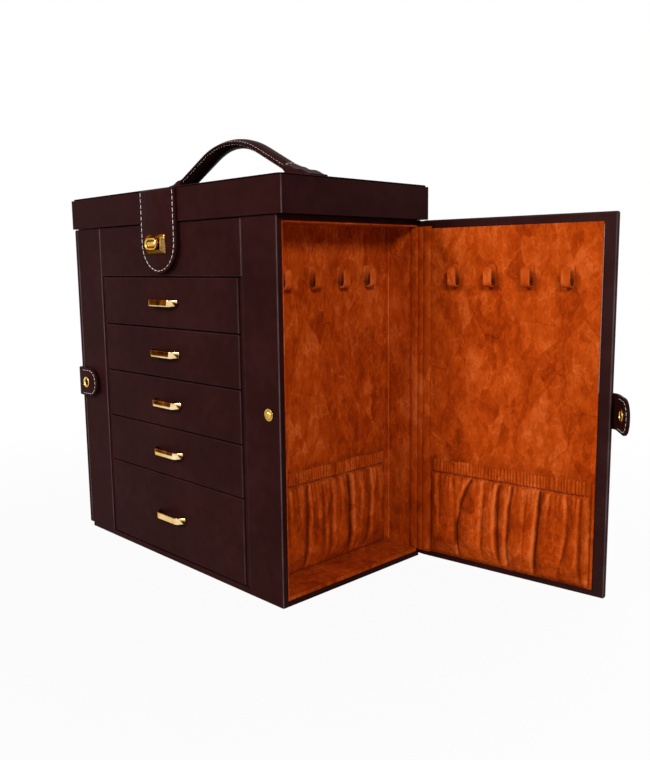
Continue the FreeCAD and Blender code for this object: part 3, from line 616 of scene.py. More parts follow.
def makeLidPad(look):
    low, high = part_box("lid_pad")
    crown = high.z - low.z
    corner = look["corner"]

    def place(u, v):
        x = low.x + u * (high.x - low.x)
        y = low.y + v * (high.y - low.y)
        # corners of the blank are rounded
        cx, cy = high.x - corner, high.y - corner
        if abs(x) > cx and abs(y) > cy:
            out = Vector((abs(x) - cx, abs(y) - cy))
            longest = max(out.x, out.y)
            out = out.normalized() * longest
            x, y = math.copysign(cx + out.x, x), math.copysign(cy + out.y, y)
        return Vector((x, y, low.z + look["skirt"]))

    pad = mouldedGrid("lidPad", look["columns"], look["rows"], place)
    editPiece(pad)
    bpy.ops.mesh.select_all(action="SELECT")
    bpy.ops.mesh.region_to_loop()
    bpy.ops.mesh.extrude_edges_move(TRANSFORM_OT_translate={"value": (0, 0, -look["skirt"])})
    bpy.ops.mesh.edge_face_add()
    clearSelection()
    outward(pad)
    rise = crown - look["skirt"]
    start = [vert.co.copy() for vert in pad.data.vertices]

    def depthIn(point):
        return min(high.x - abs(point.x), high.y - abs(point.y))

    still = [vert.index for vert in pad.data.vertices
             if vert.co.z < low.z + look["skirt"] / 2 or depthIn(vert.co) < look["held"]]
    pad.vertex_groups.new(name="held").add(still, 1.0, "REPLACE")
    makeActive(pad)
    cloth = pad.modifiers.new("Cloth", "CLOTH")
    cloth.settings.vertex_group_mass = "held"
    cloth.settings.use_pressure = True
    cloth.settings.uniform_pressure_force = look["pressure"]
    cloth.settings.quality = 6
    cloth.settings.effector_weights.gravity = 0
    cloth.point_cache.frame_end = look["frames"]
    for number in range(1, look["frames"] + 1):
        scene.frame_set(number)
    bpy.ops.object.modifier_apply(modifier=cloth.name)
    pad.vertex_groups.clear()
    for vert, first in zip(pad.data.vertices, start):
        moved = vert.co - first
        risen = min(max(moved.z, 0.0), rise)
        vert.co = first + Vector((moved.x * look["spread"], moved.y * look["spread"], risen))
    scene.frame_set(1)
    applyModifier(pad, "SMOOTH", factor=0.5, iterations=3, use_x=False, use_y=False)
    bevelled(pad, look["edge"], 2, 50)
    finishPiece(pad, strapLeather, "leather", "lid", ["lid_pad"], 60)
    # the lower part of the pad's skirt gets a near-black leather: a painted shadow along the seam between the pad
    # and the lid's frame
    groove = low.z + 0.9 * look["skirt"]
    darken(pad, seamShadowLeather, lambda face: face.center.z < groove and abs(face.normal.z) < 0.5)
    print("lid pad", [round(value, 4) for value in pad.dimensions])


makeLidPad(padLook)


# carrying handle

handleLook = {"stations": 110, "around": 28, "half": 4 * mm, "core": 7.3 * mm, "flange": 1.35 * mm,
              "seam": 8.7 * mm, "archRadius": 82 * mm, "archAngle": 27.0, "leg": 48 * mm,
              "toeRadius": 21 * mm, "toeLength": 14 * mm, "coreEnd": 72 * mm, "fadeFrom": -6 * mm,
              "fadeTo": 2.5 * mm, "thin": 2.4 * mm, "pitch": 3.6 * mm, "thread": 0.65, "crossPitch": 4 * mm,
              "crossThread": 0.85, "threadLift": 0.1 * mm}


def handleLine(look):
    # the middle line of the strap, from its left toe to its right one, as a function of the share run
    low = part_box("handle_strap")[0]
    lean = math.radians(look["archAngle"])
    half = look["half"]
    arch, leg, toe = look["archRadius"], look["leg"], look["toeRadius"]
    toeX = (arch + toe) * math.sin(lean) + leg * math.cos(lean)
    archLevel = low.z + half + toe - (arch + toe) * math.cos(lean) + leg * math.sin(lean)
    runs = [look["toeLength"], toe * lean, leg, 2 * arch * lean, leg, toe * lean, look["toeLength"]]

    def at(share):
        run = share * sum(runs)
        mirrored = run > sum(runs) / 2
        if mirrored:
            run = sum(runs) - run
        onLeg = run - runs[0] - runs[1]
        if run < runs[0]:
            point, slope = Vector((-toeX - runs[0] + run, 0, low.z + half)), 0.0
        elif onLeg < 0:
            slope = (run - runs[0]) / toe
            point = Vector((-toeX + toe * math.sin(slope), 0, low.z + half + toe - toe * math.cos(slope)))
        elif onLeg < leg:
            slope = lean
            point = Vector((-arch * math.sin(lean) - (leg - onLeg) * math.cos(lean), 0,
                            archLevel + arch * math.cos(lean) - (leg - onLeg) * math.sin(lean)))
        else:
            slope = lean - (onLeg - leg) / arch
            point = Vector((-arch * math.sin(slope), 0, archLevel + arch * math.cos(slope)))
        # the padded core ends before the toe, where the strap is thinner; slab is half of its thickness
        full = smoothStep(look["fadeFrom"], look["fadeTo"], point.x + look["coreEnd"])
        slab = half - look["thin"] * smoothStep(0, runs[0], -point.x - toeX)
        if mirrored:
            point.x, slope = -point.x, -slope
        return point, slope, full, slab

    return at


def makeHandle(look):
    at = handleLine(look)
    low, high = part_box("handle_strap")
    halfWidth = (high.y - low.y) / 2

    def riseAt(y, slab, full):
        # flat sewn edges with a padded core between them, and a plain slab where the core has ended
        inside = max(0.0, 1 - (y / look["core"]) ** 2)
        rise = look["flange"] + (look["half"] - look["flange"]) * math.sqrt(inside)
        return slab + (rise - slab) * full

    def section(turn, slab, full):
        y = halfWidth * math.copysign(abs(math.cos(turn)) ** 0.75, math.cos(turn))
        rise = riseAt(y, slab, full)
        return y, math.copysign(rise * min(1.0, abs(math.sin(turn)) * 2.2), math.sin(turn))

    def place(u, v):
        point, slope, full, slab = at(v)
        y, rise = section(u * 2 * math.pi, slab, full)
        return point + Vector((-math.sin(slope) * rise, y, math.cos(slope) * rise - look["half"] + slab))

    strap = mouldedGrid("handleStrap", look["around"], look["stations"], place)
    editPiece(strap)
    bpy.ops.mesh.select_all(action="SELECT")
    bpy.ops.mesh.remove_doubles(threshold=0.02 * mm)
    pickOpenEdges()
    bpy.ops.mesh.fill_holes(sides=0)
    clearSelection()
    outward(strap)
    finishPiece(strap, strapLeather, "leather", "lid", ["handle_strap"], 50)
    members = []
    for side in (-1, 1):
        for face in (1, -1):
            line, looks = [], []
            for step in range(121):
                point, slope, full, slab = at(0.10 + 0.80 * step / 120)
                if abs(point.x) > look["coreEnd"]:
                    continue
                out = Vector((-math.sin(slope), 0, math.cos(slope)))
                line.append(point + Vector((0, side * look["seam"], 0)) + out * face * look["flange"] * 1.12)
                looks.append(out * face)
            members.append(sew(f"handleSeam{side}{face}", line,
                               lambda share: looks[min(len(looks) - 1, int(share * len(looks)))],
                               look["pitch"], look["thread"]))
        # a row of stitches across the strap, where the padded core ends
        share = next(step / 400 for step in range(200) if at(step / 400)[0].x > -look["coreEnd"])
        point, slope, full, slab = at(share if side < 0 else 1 - share)
        out = Vector((-math.sin(slope), 0, math.cos(slope)))
        line = []
        for y in range(-8, 9):
            rise = riseAt(y * mm, slab, full) + look["threadLift"]
            line.append(point + Vector((0, y * mm, 0)) + out * rise)
        members.append(sew(f"handleCross{side}", line, lambda share: out, look["crossPitch"],
                           look["crossThread"]))
    finishPiece(joined("handleStitches", members), creamThread, "leather", "lid")


makeHandle(handleLook)

anchorLook = {"length": 34 * mm, "edge": 0.5 * mm, "seam": 2.2 * mm, "corner": 5 * mm,
              "threadLift": 0.1 * mm}


def makeAnchors(look):
    # leather patches under the handle's toes, sewn to the pad
    low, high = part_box("handle_anchors")
    length = look["length"]
    patches, seams = [], []
    for side in (-1, 1):
        start = Vector((side * high.x, 0, (low.z + high.z) / 2))
        finish = start - Vector((side * length, 0, 0))
        patch = bentStrip(f"anchor{side}", [start, finish], (0, 1, 0), high.y - low.y)
        corners = [place + Vector((0, y, 0)) for place in (start, finish) for y in (low.y, high.y)]
        roundEnd(patch, corners, look["corner"], 5)
        patches.append(thicken(patch, high.z - low.z, look["edge"]))
        inset = look["seam"]
        top = high.z + look["threadLift"]
        line = [Vector((side * (high.x - inset - x), y, top)) for x, y in (
            (length - 2 * inset, low.y + inset), (0, low.y + inset), (0, high.y - inset),
            (length - 2 * inset, high.y - inset))]
        for here, there in zip(line, line[1:]):
            seams.append(sew("anchorSeam", [here, there], lambda share: Vector((0, 0, 1))))
    finishPiece(joined("handleAnchors", patches), strapLeather, "anchor_leather", "lid", ["handle_anchors"])
    finishPiece(joined("anchorStitches", seams), creamThread, "leather", "lid")
    print("handle made")


makeAnchors(anchorLook)


# front strap with its turn lock

strapLook = {"edge": 0.7 * mm, "seam": 2.4 * mm, "seamTop": 0.6 * mm, "threadLift": 0.1 * mm,
             "tail": 0.7 * mm, "tailEdge": 0.15 * mm, "tailLift": 0.05 * mm, "tailNarrow": 3 * mm,
             "tailFront": 0.3 * mm, "tailDrop": 3 * mm, "tuck": 2.6 * mm, "bendIn": 1.6 * mm,
             "bendDown": 1 * mm}


def makeFrontStrap(look):
    low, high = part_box("front_strap")
    middle = (low.y + high.y) / 2
    width, thick = high.x - low.x, high.y - low.y
    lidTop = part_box("lid_shell")[1].z
    strap = bentStrip("frontStrap", [(0, middle, low.z), (0, middle, high.z)], (1, 0, 0), width)
    roundEnd(strap, [Vector((x, middle, low.z)) for x in (low.x, high.x)], width / 2 - 0.02 * mm, 18)
    thicken(strap, thick, look["edge"], 3)
    finishPiece(strap, strapLeather, "leather", "front_strap", ["front_strap"])
    # a thin tail joins the strap to the groove round the pad
    level = lidTop + look["tail"] / 2 + look["tailLift"]
    front = middle - look["tailFront"]
    path = [(0, middle + look["tuck"], level)] + bezier(
        [(0, middle + look["tuck"] / 2, level), (0, middle, level), (0, front, level - look["tailFront"]),
         (0, front, level - look["tailDrop"])], 8)
    tail = bentStrip("strapTail", path, (1, 0, 0), width - look["tailNarrow"])
    thicken(tail, look["tail"], look["tailEdge"])
    finishPiece(tail, strapLeather, "leather")
    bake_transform(tail)
    line = tongueSeam((0, low.y - look["threadLift"], low.z), (0, 0, 1), (1, 0, 0),
                      high.z - low.z - look["seamTop"], width, width / 2, look["seam"])
    seam = sew("strapStitches", line, lambda share: Vector((0, -1, 0)))
    finishPiece(seam, creamThread, "leather", "front_strap")


makeFrontStrap(strapLook)

lockLook = {"plate": 1.5 * mm, "steps": 3, "inset": 0.75 * mm, "edge": 0.22 * mm, "panel": 1.3 * mm,
            "panelDepth": 0.5 * mm, "gap": 0.3 * mm, "knobRim": 1.1 * mm, "knobWall": 0.3 * mm,
            "dish": 0.8 * mm, "dishWidth": 1.5 * mm, "bar": 0.7 * mm, "stem": 3 * mm, "knobEdge": 0.3 * mm,
            "darkFrom": 0.4 * mm}


def makeLock(look):
    low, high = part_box("lock_case")
    case = addBox("lockCase", (low.x, high.y - look["plate"], low.z), high)
    editPiece(case)
    rise = (high.y - low.y - look["plate"]) / look["steps"]
    pick(case, "FACE", lambda face: face.normal.y < -0.9)
    for step in range(look["steps"]):  # a stepped side, as on a stacked plate
        bpy.ops.mesh.inset(thickness=look["inset"])
        bpy.ops.mesh.extrude_region_move(TRANSFORM_OT_translate={"value": (0, -rise, 0)})
    bpy.ops.mesh.inset(thickness=look["panel"], depth=-look["panelDepth"])
    clearSelection()
    bevelled(case, look["edge"], 2)
    finishPiece(outward(case), goldWithPaintedReflection, "brass", "front_strap", ["lock_case"])

    low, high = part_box("lock_knob")
    centre = Vector(joints["lock_turn"]["pos_m"])
    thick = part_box("lock_case")[0].y - low.y - look["gap"]
    half = (high.z - low.z) / 2
    knob = addDisc("lockKnob", (0, low.y + thick / 2, centre.z), half, thick, 48)
    editPiece(knob)
    for side in (-1, 1):
        pick(knob, "VERT", lambda vert: vert.co.x * side > touching)
        bpy.ops.transform.translate(value=(side * ((high.x - low.x) / 2 - half), 0, 0))
    pick(knob, "FACE", lambda face: face.normal.y < -0.9)
    bpy.ops.mesh.inset(thickness=look["knobRim"])  # a rim round a dished face with a raised bar
    bpy.ops.mesh.inset(thickness=look["knobWall"], depth=-look["dish"])
    bpy.ops.mesh.inset(thickness=look["dishWidth"])
    bpy.ops.mesh.inset(thickness=look["knobWall"], depth=look["bar"])
    clearSelection()
    stemY = (low.y + thick + high.y) / 2
    stem = addDisc("lockStem", (0, stemY, centre.z), look["stem"], high.y - low.y - thick, 32)
    knob = joined("lockKnob", [knob, stem])
    bevelled(knob, look["knobEdge"], 3)
    finishPiece(knob, goldWithFaintPaintedReflection, "brass", "lock_knob", ["lock_knob"])
    # the sunk floor of the dish gets the gold with the stronger painted reflection, which paints it dark as a
    # painted shade
    dark = low.y + look["darkFrom"]
    darken(knob, goldWithPaintedReflection, lambda face: face.normal.y < -0.9 and face.center.y > dark)
    print("strap and lock made")


makeLock(lockLook)


# drawer pulls

pullLook = {"strip": 2.0 * mm, "bend": 2.2 * mm, "bar": 14.5 * mm, "edge": 0.95 * mm,
            "bandShares": (0.14, 0.22, 0.32, 0.50, 0.84), "bendShare": 0.9, "legShare": 0.55}


def makePull(number, look):
    node = f"drawer_{number}_pull"
    low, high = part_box(node)
    level = (low.z + high.z) / 2
    half = look["strip"] / 2
    lean = (high.x - look["bar"]) / (high.y - low.y)
    spread = half * math.hypot(1, lean)  # the strip's middle lies this far inside its outer face
    foot = high.x - spread
    bar = foot - lean * (high.y - low.y - half)
    front = low.y + half
    path = [(-foot, high.y, level), (-bar, front, level), (bar, front, level), (foot, high.y, level)]
    pull = bentStrip(f"drawerPull{number}", path, (0, 0, 1), high.z - low.z)
    editPiece(pull)
    pick(pull, "EDGE", lambda edge: abs(middleOf(edge).y - front) < touching
         and abs(abs(middleOf(edge).x) - bar) < touching)
    bpy.ops.mesh.bevel(offset=look["bend"], segments=6, affect="EDGES")
    clearSelection()
    thicken(pull, look["strip"], look["edge"], 5)
    above = []
    # a painted highlight band along the foot of the bar, painted highlights on the bends, and legs painted as lit
    # from above
    for vert in pull.data.vertices:
        share = (vert.co.z - low.z) / (high.z - low.z)
        if vert.normal.y < -0.97 or vert.normal.z > 0.5:
            above.append(share - look["bandShares"][number - 1])
        elif vert.co.y < low.y + look["bend"]:
            above.append(share - look["bendShare"])
        else:
            above.append(look["legShare"] - share)
    markPoints(pull, "abovePaintedBand", above)
    finishPiece(pull, goldWithPaintedBand, "brass", f"drawer_{number}", [node])


for number in drawers:
    makePull(number, pullLook)
print("pulls made")


# necklace hooks

hookLook = {"strip": 1.7 * mm, "round": 3.1 * mm, "edge": 0.55 * mm, "count": 4, "pitch": 31.2 * mm,
            "tongue": 15.5 * mm, "fade": 5 * mm, "paintedShade": 0.85, "lift": 0.07, "rim": 0.08}


def hookBlank(look):
    # one hook, with the wall at x = 0 and the hook standing out along +X
    low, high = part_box("right_compartment_hooks")
    half = look["strip"] / 2
    reach = high.x - low.x
    bend = reach / 2 - half
    centre = low.z + reach / 2
    tongue = low.z + look["tongue"]
    path = [(reach - half, 0, tongue)]
    for step in range(13):
        turn = math.pi * step / 12
        path.append((reach / 2 + bend * math.cos(turn), 0, centre - bend * math.sin(turn)))
    path.append((half, 0, high.z))
    width = high.y - low.y - (look["count"] - 1) * look["pitch"]
    hook = bentStrip("hookBlank", path, (0, 1, 0), width)
    roundEnd(hook, [Vector((reach - half, side * width / 2, tongue)) for side in (-1, 1)], look["round"], 7)
    roundEnd(hook, [Vector((half, side * width / 2, high.z)) for side in (-1, 1)], look["round"], 5)
    thicken(hook, look["strip"], look["edge"], 3)
    # painted shade inside the bend, fading up the tongue; a lighter tone all over, with a painted highlight along
    # the side edges
    inside, rim = [], []
    for vert in hook.data.vertices:
        out = math.hypot(vert.co.x - reach / 2, min(vert.co.z - centre, 0.0)) - bend
        paintedDarkness = smoothStep(-0.2 * half, 0.6 * half, -out) * smoothStep(0, look["fade"], tongue - vert.co.z)
        inside.append(look["paintedShade"] * paintedDarkness)
        rim.append(look["lift"] + look["rim"] * smoothStep(0.75, 0.95, abs(vert.co.y) / (width / 2)))
    markPoints(hook, "paintedShade", inside)
    markPoints(hook, "crest", rim)
    return hook


def hookRows(look):
    blank = hookBlank(look)
    walls = {}
    for name, side in sides.items():
        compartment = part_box(f"{name}_compartment_hooks")
        inner = compartment[0].x if side > 0 else compartment[1].x
        turn = Matrix.Identity(4) if side > 0 else Matrix.Rotation(math.pi, 4, "Z")
        walls[f"{name}_compartment"] = ("cabinet", Matrix.Translation((inner, 0, 0)) @ turn)
        face = side * -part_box("left_door_lining")[1].x
        turn = Matrix.Rotation(math.pi, 4, "Z") if side > 0 else Matrix.Identity(4)
        shut = Matrix.Translation((face, 0, 0)) @ turn
        walls[f"{name}_door"] = (f"{name}_door", doorSwing @ shut if side > 0 else shut)
    for wall, (body, matrix) in walls.items():
        row = []
        for number in range(look["count"]):
            along = (number - (look["count"] - 1) / 2) * look["pitch"]
            row.append(copyOf(blank, f"hook{number}", matrix @ Matrix.Translation((0, along, 0))))
        words = wall.split("_")
        piece = joined(words[0] + words[1].title() + "Hooks", row)
        finishPiece(piece, hookFlock, "flocked_hook", body, [f"{wall}_hooks"])
    bpy.data.objects.remove(blank)


hookRows(hookLook)
print("hooks made")


# doors

doorLook = {"edge": 1.3 * mm, "steps": 4, "liningEdge": 0.6 * mm, "rim": 0.2 * mm, "rimEdge": 0.08 * mm,
            "rimInset": 0.3 * mm, "rimFoot": 0.55, "rimHead": 2 * mm}


def makeDoors(look):
    for name, side in sides.items():
        place = doorSwing if side > 0 else Matrix.Identity(4)
        for node, edge, finish, slot in (("door_panel", look["edge"], panelLeather, "leather"),
                                         ("door_lining", look["liningEdge"], liningSuede, "suede")):
            low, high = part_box(f"left_{node}")
            if side > 0:
                low, high = Vector((-high.x, low.y, low.z)), Vector((-low.x, high.y, high.z))
            piece = addBox(name + "Door" + node.split("_")[1].title(), low, high)
            bevelled(piece, edge, look["steps"])
            piece.data.transform(place)
            finishPiece(piece, finish, slot, f"{name}_door", [f"{name}_{node}"])
        foot = low.z + (high.z - low.z) * look["rimFoot"]
        rim = addBox(name + "LiningRim", (low.x + look["rimInset"], low.y - look["rim"], foot),
                     (high.x - look["rimInset"], low.y, high.z - look["rimHead"]))
        bevelled(rim, look["rimEdge"], 2)
        rim.data.transform(place)
        finishPiece(rim, rawEdge, "suede", f"{name}_door")
    print("doors made")


makeDoors(doorLook)


# gathered pockets

# creases of the gathered cloth: shares along at the casing, half way and at the foot, then how deep each one is,
# how wide its painted shade is and from which share up it runs
doorFolds = [(0.0, 0.0, 0.0, 0.9, 0.010, -0.3), (0.04, 0.04, 0.04, 0.55, 0.006, -0.2),
             (0.125, 0.115, 0.18, 0.60, 0.016, 0.0), (0.205, 0.225, 0.235, 0.30, 0.012, 0.30),
             (0.28, 0.29, 0.315, 1.00, 0.030, -0.18), (0.345, 0.36, 0.37, 0.35, 0.010, 0.35),
             (0.445, 0.465, 0.47, 0.85, 0.016, -0.18), (0.525, 0.535, 0.52, 0.85, 0.016, -0.12),
             (0.61, 0.625, 0.63, 0.60, 0.016, -0.05), (0.70, 0.79, 0.79, 0.90, 0.018, -0.2),
             (0.835, 0.80, 0.82, 0.45, 0.012, 0.45), (0.92, 0.91, 0.89, 0.50, 0.012, 0.20),
             (0.965, 0.965, 0.965, 0.55, 0.006, -0.2), (1.0, 1.0, 1.0, 0.9, 0.010, -0.3)]
compartmentFolds = [(0.0, 0.0, 0.0, 0.9, 0.010, -0.3), (0.08, 0.085, 0.09, 0.6, 0.014, 0.1),
                    (0.16, 0.15, 0.16, 0.5, 0.014, 0.2), (0.235, 0.24, 0.25, 0.45, 0.012, 0.30),
                    (0.315, 0.305, 0.295, 0.95, 0.020, -0.15), (0.375, 0.38, 0.375, 0.40, 0.010, 0.2),
                    (0.43, 0.435, 0.44, 0.65, 0.014, -0.05), (0.50, 0.49, 0.495, 0.60, 0.014, -0.05),
                    (0.56, 0.555, 0.55, 0.40, 0.010, 0.30), (0.648, 0.655, 0.66, 1.00, 0.026, -0.12),
                    (0.735, 0.725, 0.72, 0.50, 0.012, 0.20), (0.84, 0.815, 0.80, 0.75, 0.014, -0.05),
                    (0.90, 0.89, 0.885, 0.45, 0.012, 0.30), (1.0, 1.0, 1.0, 0.9, 0.010, -0.3)]
pocketLook = {"columns": 340, "rows": 90, "sheet": 0.6 * mm, "casing": 0.868, "stand": 3.0 * mm,
              "clear": 0.3 * mm, "crest": 5.6 * mm, "ruches": 50, "pleats": 27, "pleat": 1.2 * mm,
              "lift": 1.5 * mm, "ruche": 0.95 * mm, "groove": 1.1 * mm, "crumple": 0.9 * mm,
              "crinkle": 0.4 * mm, "sag": 0.5 * mm, "frill": 0.7 * mm, "ends": 0.045,
              "seams": (0.012, -0.016), "threadLift": 0.12 * mm, "pitch": 2.7 * mm, "thread": 0.5,
              "fullness": 1.18, "hem": 1.04, "casingFade": 0.04, "casingStep": 0.012, "narrowest": 0.004,
              "steep": 0.012, "broad": 0.09, "fall": 0.9, "dip": 0.022, "grooveWidth": 0.010,
              "foldShade": 0.92, "flankShade": 0.42, "lineWidth": 0.004, "seamShade": 0.12, "gapShade": 0.5,
              "rucheShade": 0.6, "pleatShade": 0.7, "footShade": 0.6, "footWidth": 0.05, "crestLight": 0.20,
              "crestPlace": 0.016, "crestWidth": 0.012, "rucheLight": 0.10, "pleatLight": 0.10, "dim": 0.01}


def pocketDepth(look, folds, seed):
    # for shares along and up: how far the cloth stands off the wall, how much painted shade it has and how much
    # painted highlight
    dice = random.Random(seed)
    crests = [look["crest"] * dice.uniform(0.75, 1.1) for fold in folds]
    phase = dice.uniform(0, 10)

    def across(fold, v):  # a crease bends through its three places
        top, half, foot = fold[:3]
        t = v / look["casing"]
        return foot * (1 - t) * (1 - 2 * t) + half * 4 * t * (1 - t) + top * t * (2 * t - 1)

    def depth(u, v):
        ends = smoothStep(0, look["ends"], u) * smoothStep(0, look["ends"], 1 - u)
        below = 1 - smoothStep(look["casing"] - look["casingFade"], look["casing"], v)
        above = smoothStep(look["casing"] - look["casingStep"], look["casing"] + look["casingStep"], v)
        low = min(v, look["casing"])
        index = max(0, min(len(folds) - 2, sum(1 for fold in folds if across(fold, low) <= u) - 1))
        here, there = across(folds[index], low), across(folds[index + 1], low)
        span = max(there - here, look["narrowest"])
        t = min(1.0, max(0.0, (u - here) / span))
        behind, ahead = (fold[3] * smoothStep(fold[5], fold[5] + 0.3, v) for fold in folds[index:index + 2])
        # the cloth comes up sharply behind a crease and falls away slowly to the next one
        rising = max(0.0, 1 - t * span / look["steep"]) ** 2
        puff = 1 - look["fall"] * (ahead * t ** 2.2 + behind * rising)
        full = min(1.0, span / look["broad"]) ** 0.5
        stand = look["stand"] * smoothStep(-0.05, 0.25, v) * (1 - 0.2 * smoothStep(0.6, 0.87, v))
        crest = crests[index] * full * smoothStep(-0.06, 0.22, v) * (1 - 0.35 * smoothStep(0.6, 0.87, v))
        off = stand + crest * max(0.0, puff) * below
        slant = 0.006 * noise.noise(Vector((u * 14, v * 3, phase))) + 0.004 * math.sin(u * 61 + phase)
        ripple = abs(math.sin(math.pi * look["ruches"] * (u + slant))) ** 0.7
        ripple = min(1.0, ripple * (0.85 + 0.45 * noise.noise(Vector((u * 33, v * 4, seed + 2.5)))))
        # uneven pleats fan out under the casing
        pleat = abs(math.sin(math.pi * look["pleats"] * (u + 0.010 * math.sin(u * 47 + phase)))) ** 0.6
        long = 0.5 + 0.5 * noise.noise(Vector((u * 40 + phase, 0, seed)))
        gather = smoothStep(0.74 - 0.36 * long, 0.86, v) ** 1.5 * below
        off -= look["pleat"] * gather * (1 - pleat)
        off += above * (look["lift"] + look["ruche"] * ripple)
        seam = look["casing"] - look["dip"] * (1 - ripple)
        groove = math.exp(-((v - seam) / look["grooveWidth"]) ** 2)
        off -= look["groove"] * groove
        crumple = noise.noise(Vector((u * 18 + phase, v * 7, seed)))
        off += look["crumple"] * crumple * smoothStep(0, 0.2, v) * below
        off += look["crinkle"] * noise.noise(Vector((u * 48, v * 26, seed + phase)))
        wide = folds[index + 1][4] * (0.75 + 0.5 * noise.noise(Vector((index * 3.1, v * 4, seed))))
        shade = ahead * max(math.exp(-((1 - t) * span / wide) ** 1.4), look["flankShade"] * t ** 1.6)
        shade = max(shade, behind * math.exp(-(t * span / look["lineWidth"]) ** 2)) * below
        # the darkest painted shade of the folds, the seam, the ruches, the pleats and the foot
        paintedShade = max(look["foldShade"] * shade,
                     groove * (look["seamShade"] + look["gapShade"] * (1 - ripple)),
                     look["rucheShade"] * above * (1 - ripple) ** 1.5,
                     look["pleatShade"] * gather * (1 - pleat) ** 1.6,
                     look["footShade"] * (1 - smoothStep(0.0, look["footWidth"], v)))
        # painted highlights on the crest behind each crease, on the ruches and on the pleats
        ridge = math.exp(-((t * span - look["crestPlace"]) / look["crestWidth"]) ** 2)
        light = look["crestLight"] * behind * ridge * below + look["rucheLight"] * above * ripple
        light += look["pleatLight"] * gather * pleat ** 3 - look["dim"]
        off = max(off * ends, 0.0) + look["clear"] + look["sheet"]
        return off, min(look["foldShade"], paintedShade), light

    return depth


def makePocket(name, node, body, wall, facing, low, high, swing, folds, seed, look):
    depth = pocketDepth(look, folds, seed)
    paintedShades, crests = [], []

    def place(u, v):
        off, paintedShade, crest = depth(u, v)
        paintedShades.append(paintedShade)
        crests.append(crest)
        along = low.y + u * (high.y - low.y)
        sag = look["sag"] * math.sin(u * 2 * math.pi * 3.3 + seed)
        sag += look["frill"] * noise.noise(Vector((u * 60, 0, seed)))
        sag *= smoothStep(0.9, 1, v)
        return Vector((wall + facing * off, along, low.z + v * (high.z - low.z) + sag))

    cloth = mouldedGrid(name, look["columns"], look["rows"], place)
    markPoints(cloth, "paintedShade", paintedShades)
    markPoints(cloth, "crest", crests)
    editPiece(cloth)
    bpy.ops.mesh.select_all(action="SELECT")
    bpy.ops.mesh.normals_make_consistent(inside=False)
    clearSelection()
    if sum(face.normal.x for face in cloth.data.polygons) * facing < 0:
        cloth.data.flip_normals()
    applyModifier(cloth, "SOLIDIFY", thickness=look["sheet"], offset=-1.0)
    rows = []
    out = Vector((facing, 0, 0))
    for offset in look["seams"]:
        row = look["casing"] + offset
        line = [place(0.02 + 0.96 * step / 400, row) + out * look["threadLift"] for step in range(401)]
        rows.append(sew(name + "Stitches", line, lambda share: out, look["pitch"], look["thread"]))
    seam = joined(name + "Stitches", rows)
    for piece in (cloth, seam):
        piece.data.transform(swing)
    finishPiece(cloth, foldedSuede, "suede", body, [node], 70)
    finishPiece(seam, suedeThread, "suede", body)


def makePockets(look):
    still = Matrix.Identity(4)
    for number, (name, side) in enumerate(sides.items()):
        low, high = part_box(f"{name}_compartment_pocket")
        wall = (low.x if side > 0 else high.x) - side * look["clear"]
        makePocket(name + "CompartmentPocket", f"{name}_compartment_pocket", "cabinet", wall, side, low, high,
                   still, compartmentFolds, 11 + number, look)
        low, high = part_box("left_door_pocket")  # the left door is shut, so its box is square to the frame
        wall = side * (look["clear"] - low.x)
        makePocket(name + "DoorPocket", f"{name}_door_pocket", f"{name}_door", wall, -side, low, high,
                   doorSwing if side > 0 else still, doorFolds, 23 + number, look)
    print("pockets made")


makePockets(pocketLook)


# cloth and leather bent round the hinges

hingeLook = {"cloth": 0.8 * mm, "clothEdge": 0.2 * mm, "columns": 46, "rows": 60, "ridge": 1.1 * mm,
             "wave": 0.25 * mm, "wallLeaf": 6.5 * mm, "wallGap": 0.5 * mm, "doorGap": 0.55 * mm,
             "lining": 1 * mm, "foot": 3.2 * mm, "head": 1.2 * mm, "doorLeaf": 3 * mm, "short": 0.3 * mm,
             "leather": 0.9 * mm, "leatherEdge": 0.3 * mm, "gussetEdge": 0.2 * mm, "overlap": 1 * mm,
             "behind": 1.2 * mm, "spine": 13 * mm, "spineShort": 3 * mm, "bendFrom": 5.2 * mm,
             "bendTo": 4 * mm, "bendPull": 1 * mm, "welt": 1.5 * mm, "weltGap": 0.05 * mm,
             "weltRound": 0.45}
lidSpineLook = {"bendFrom": 4 * mm, "bendTo": 2 * mm, "pull": 1.5 * mm, "stillTo": 3.5 * mm,
                "movesFrom": 1.5 * mm}


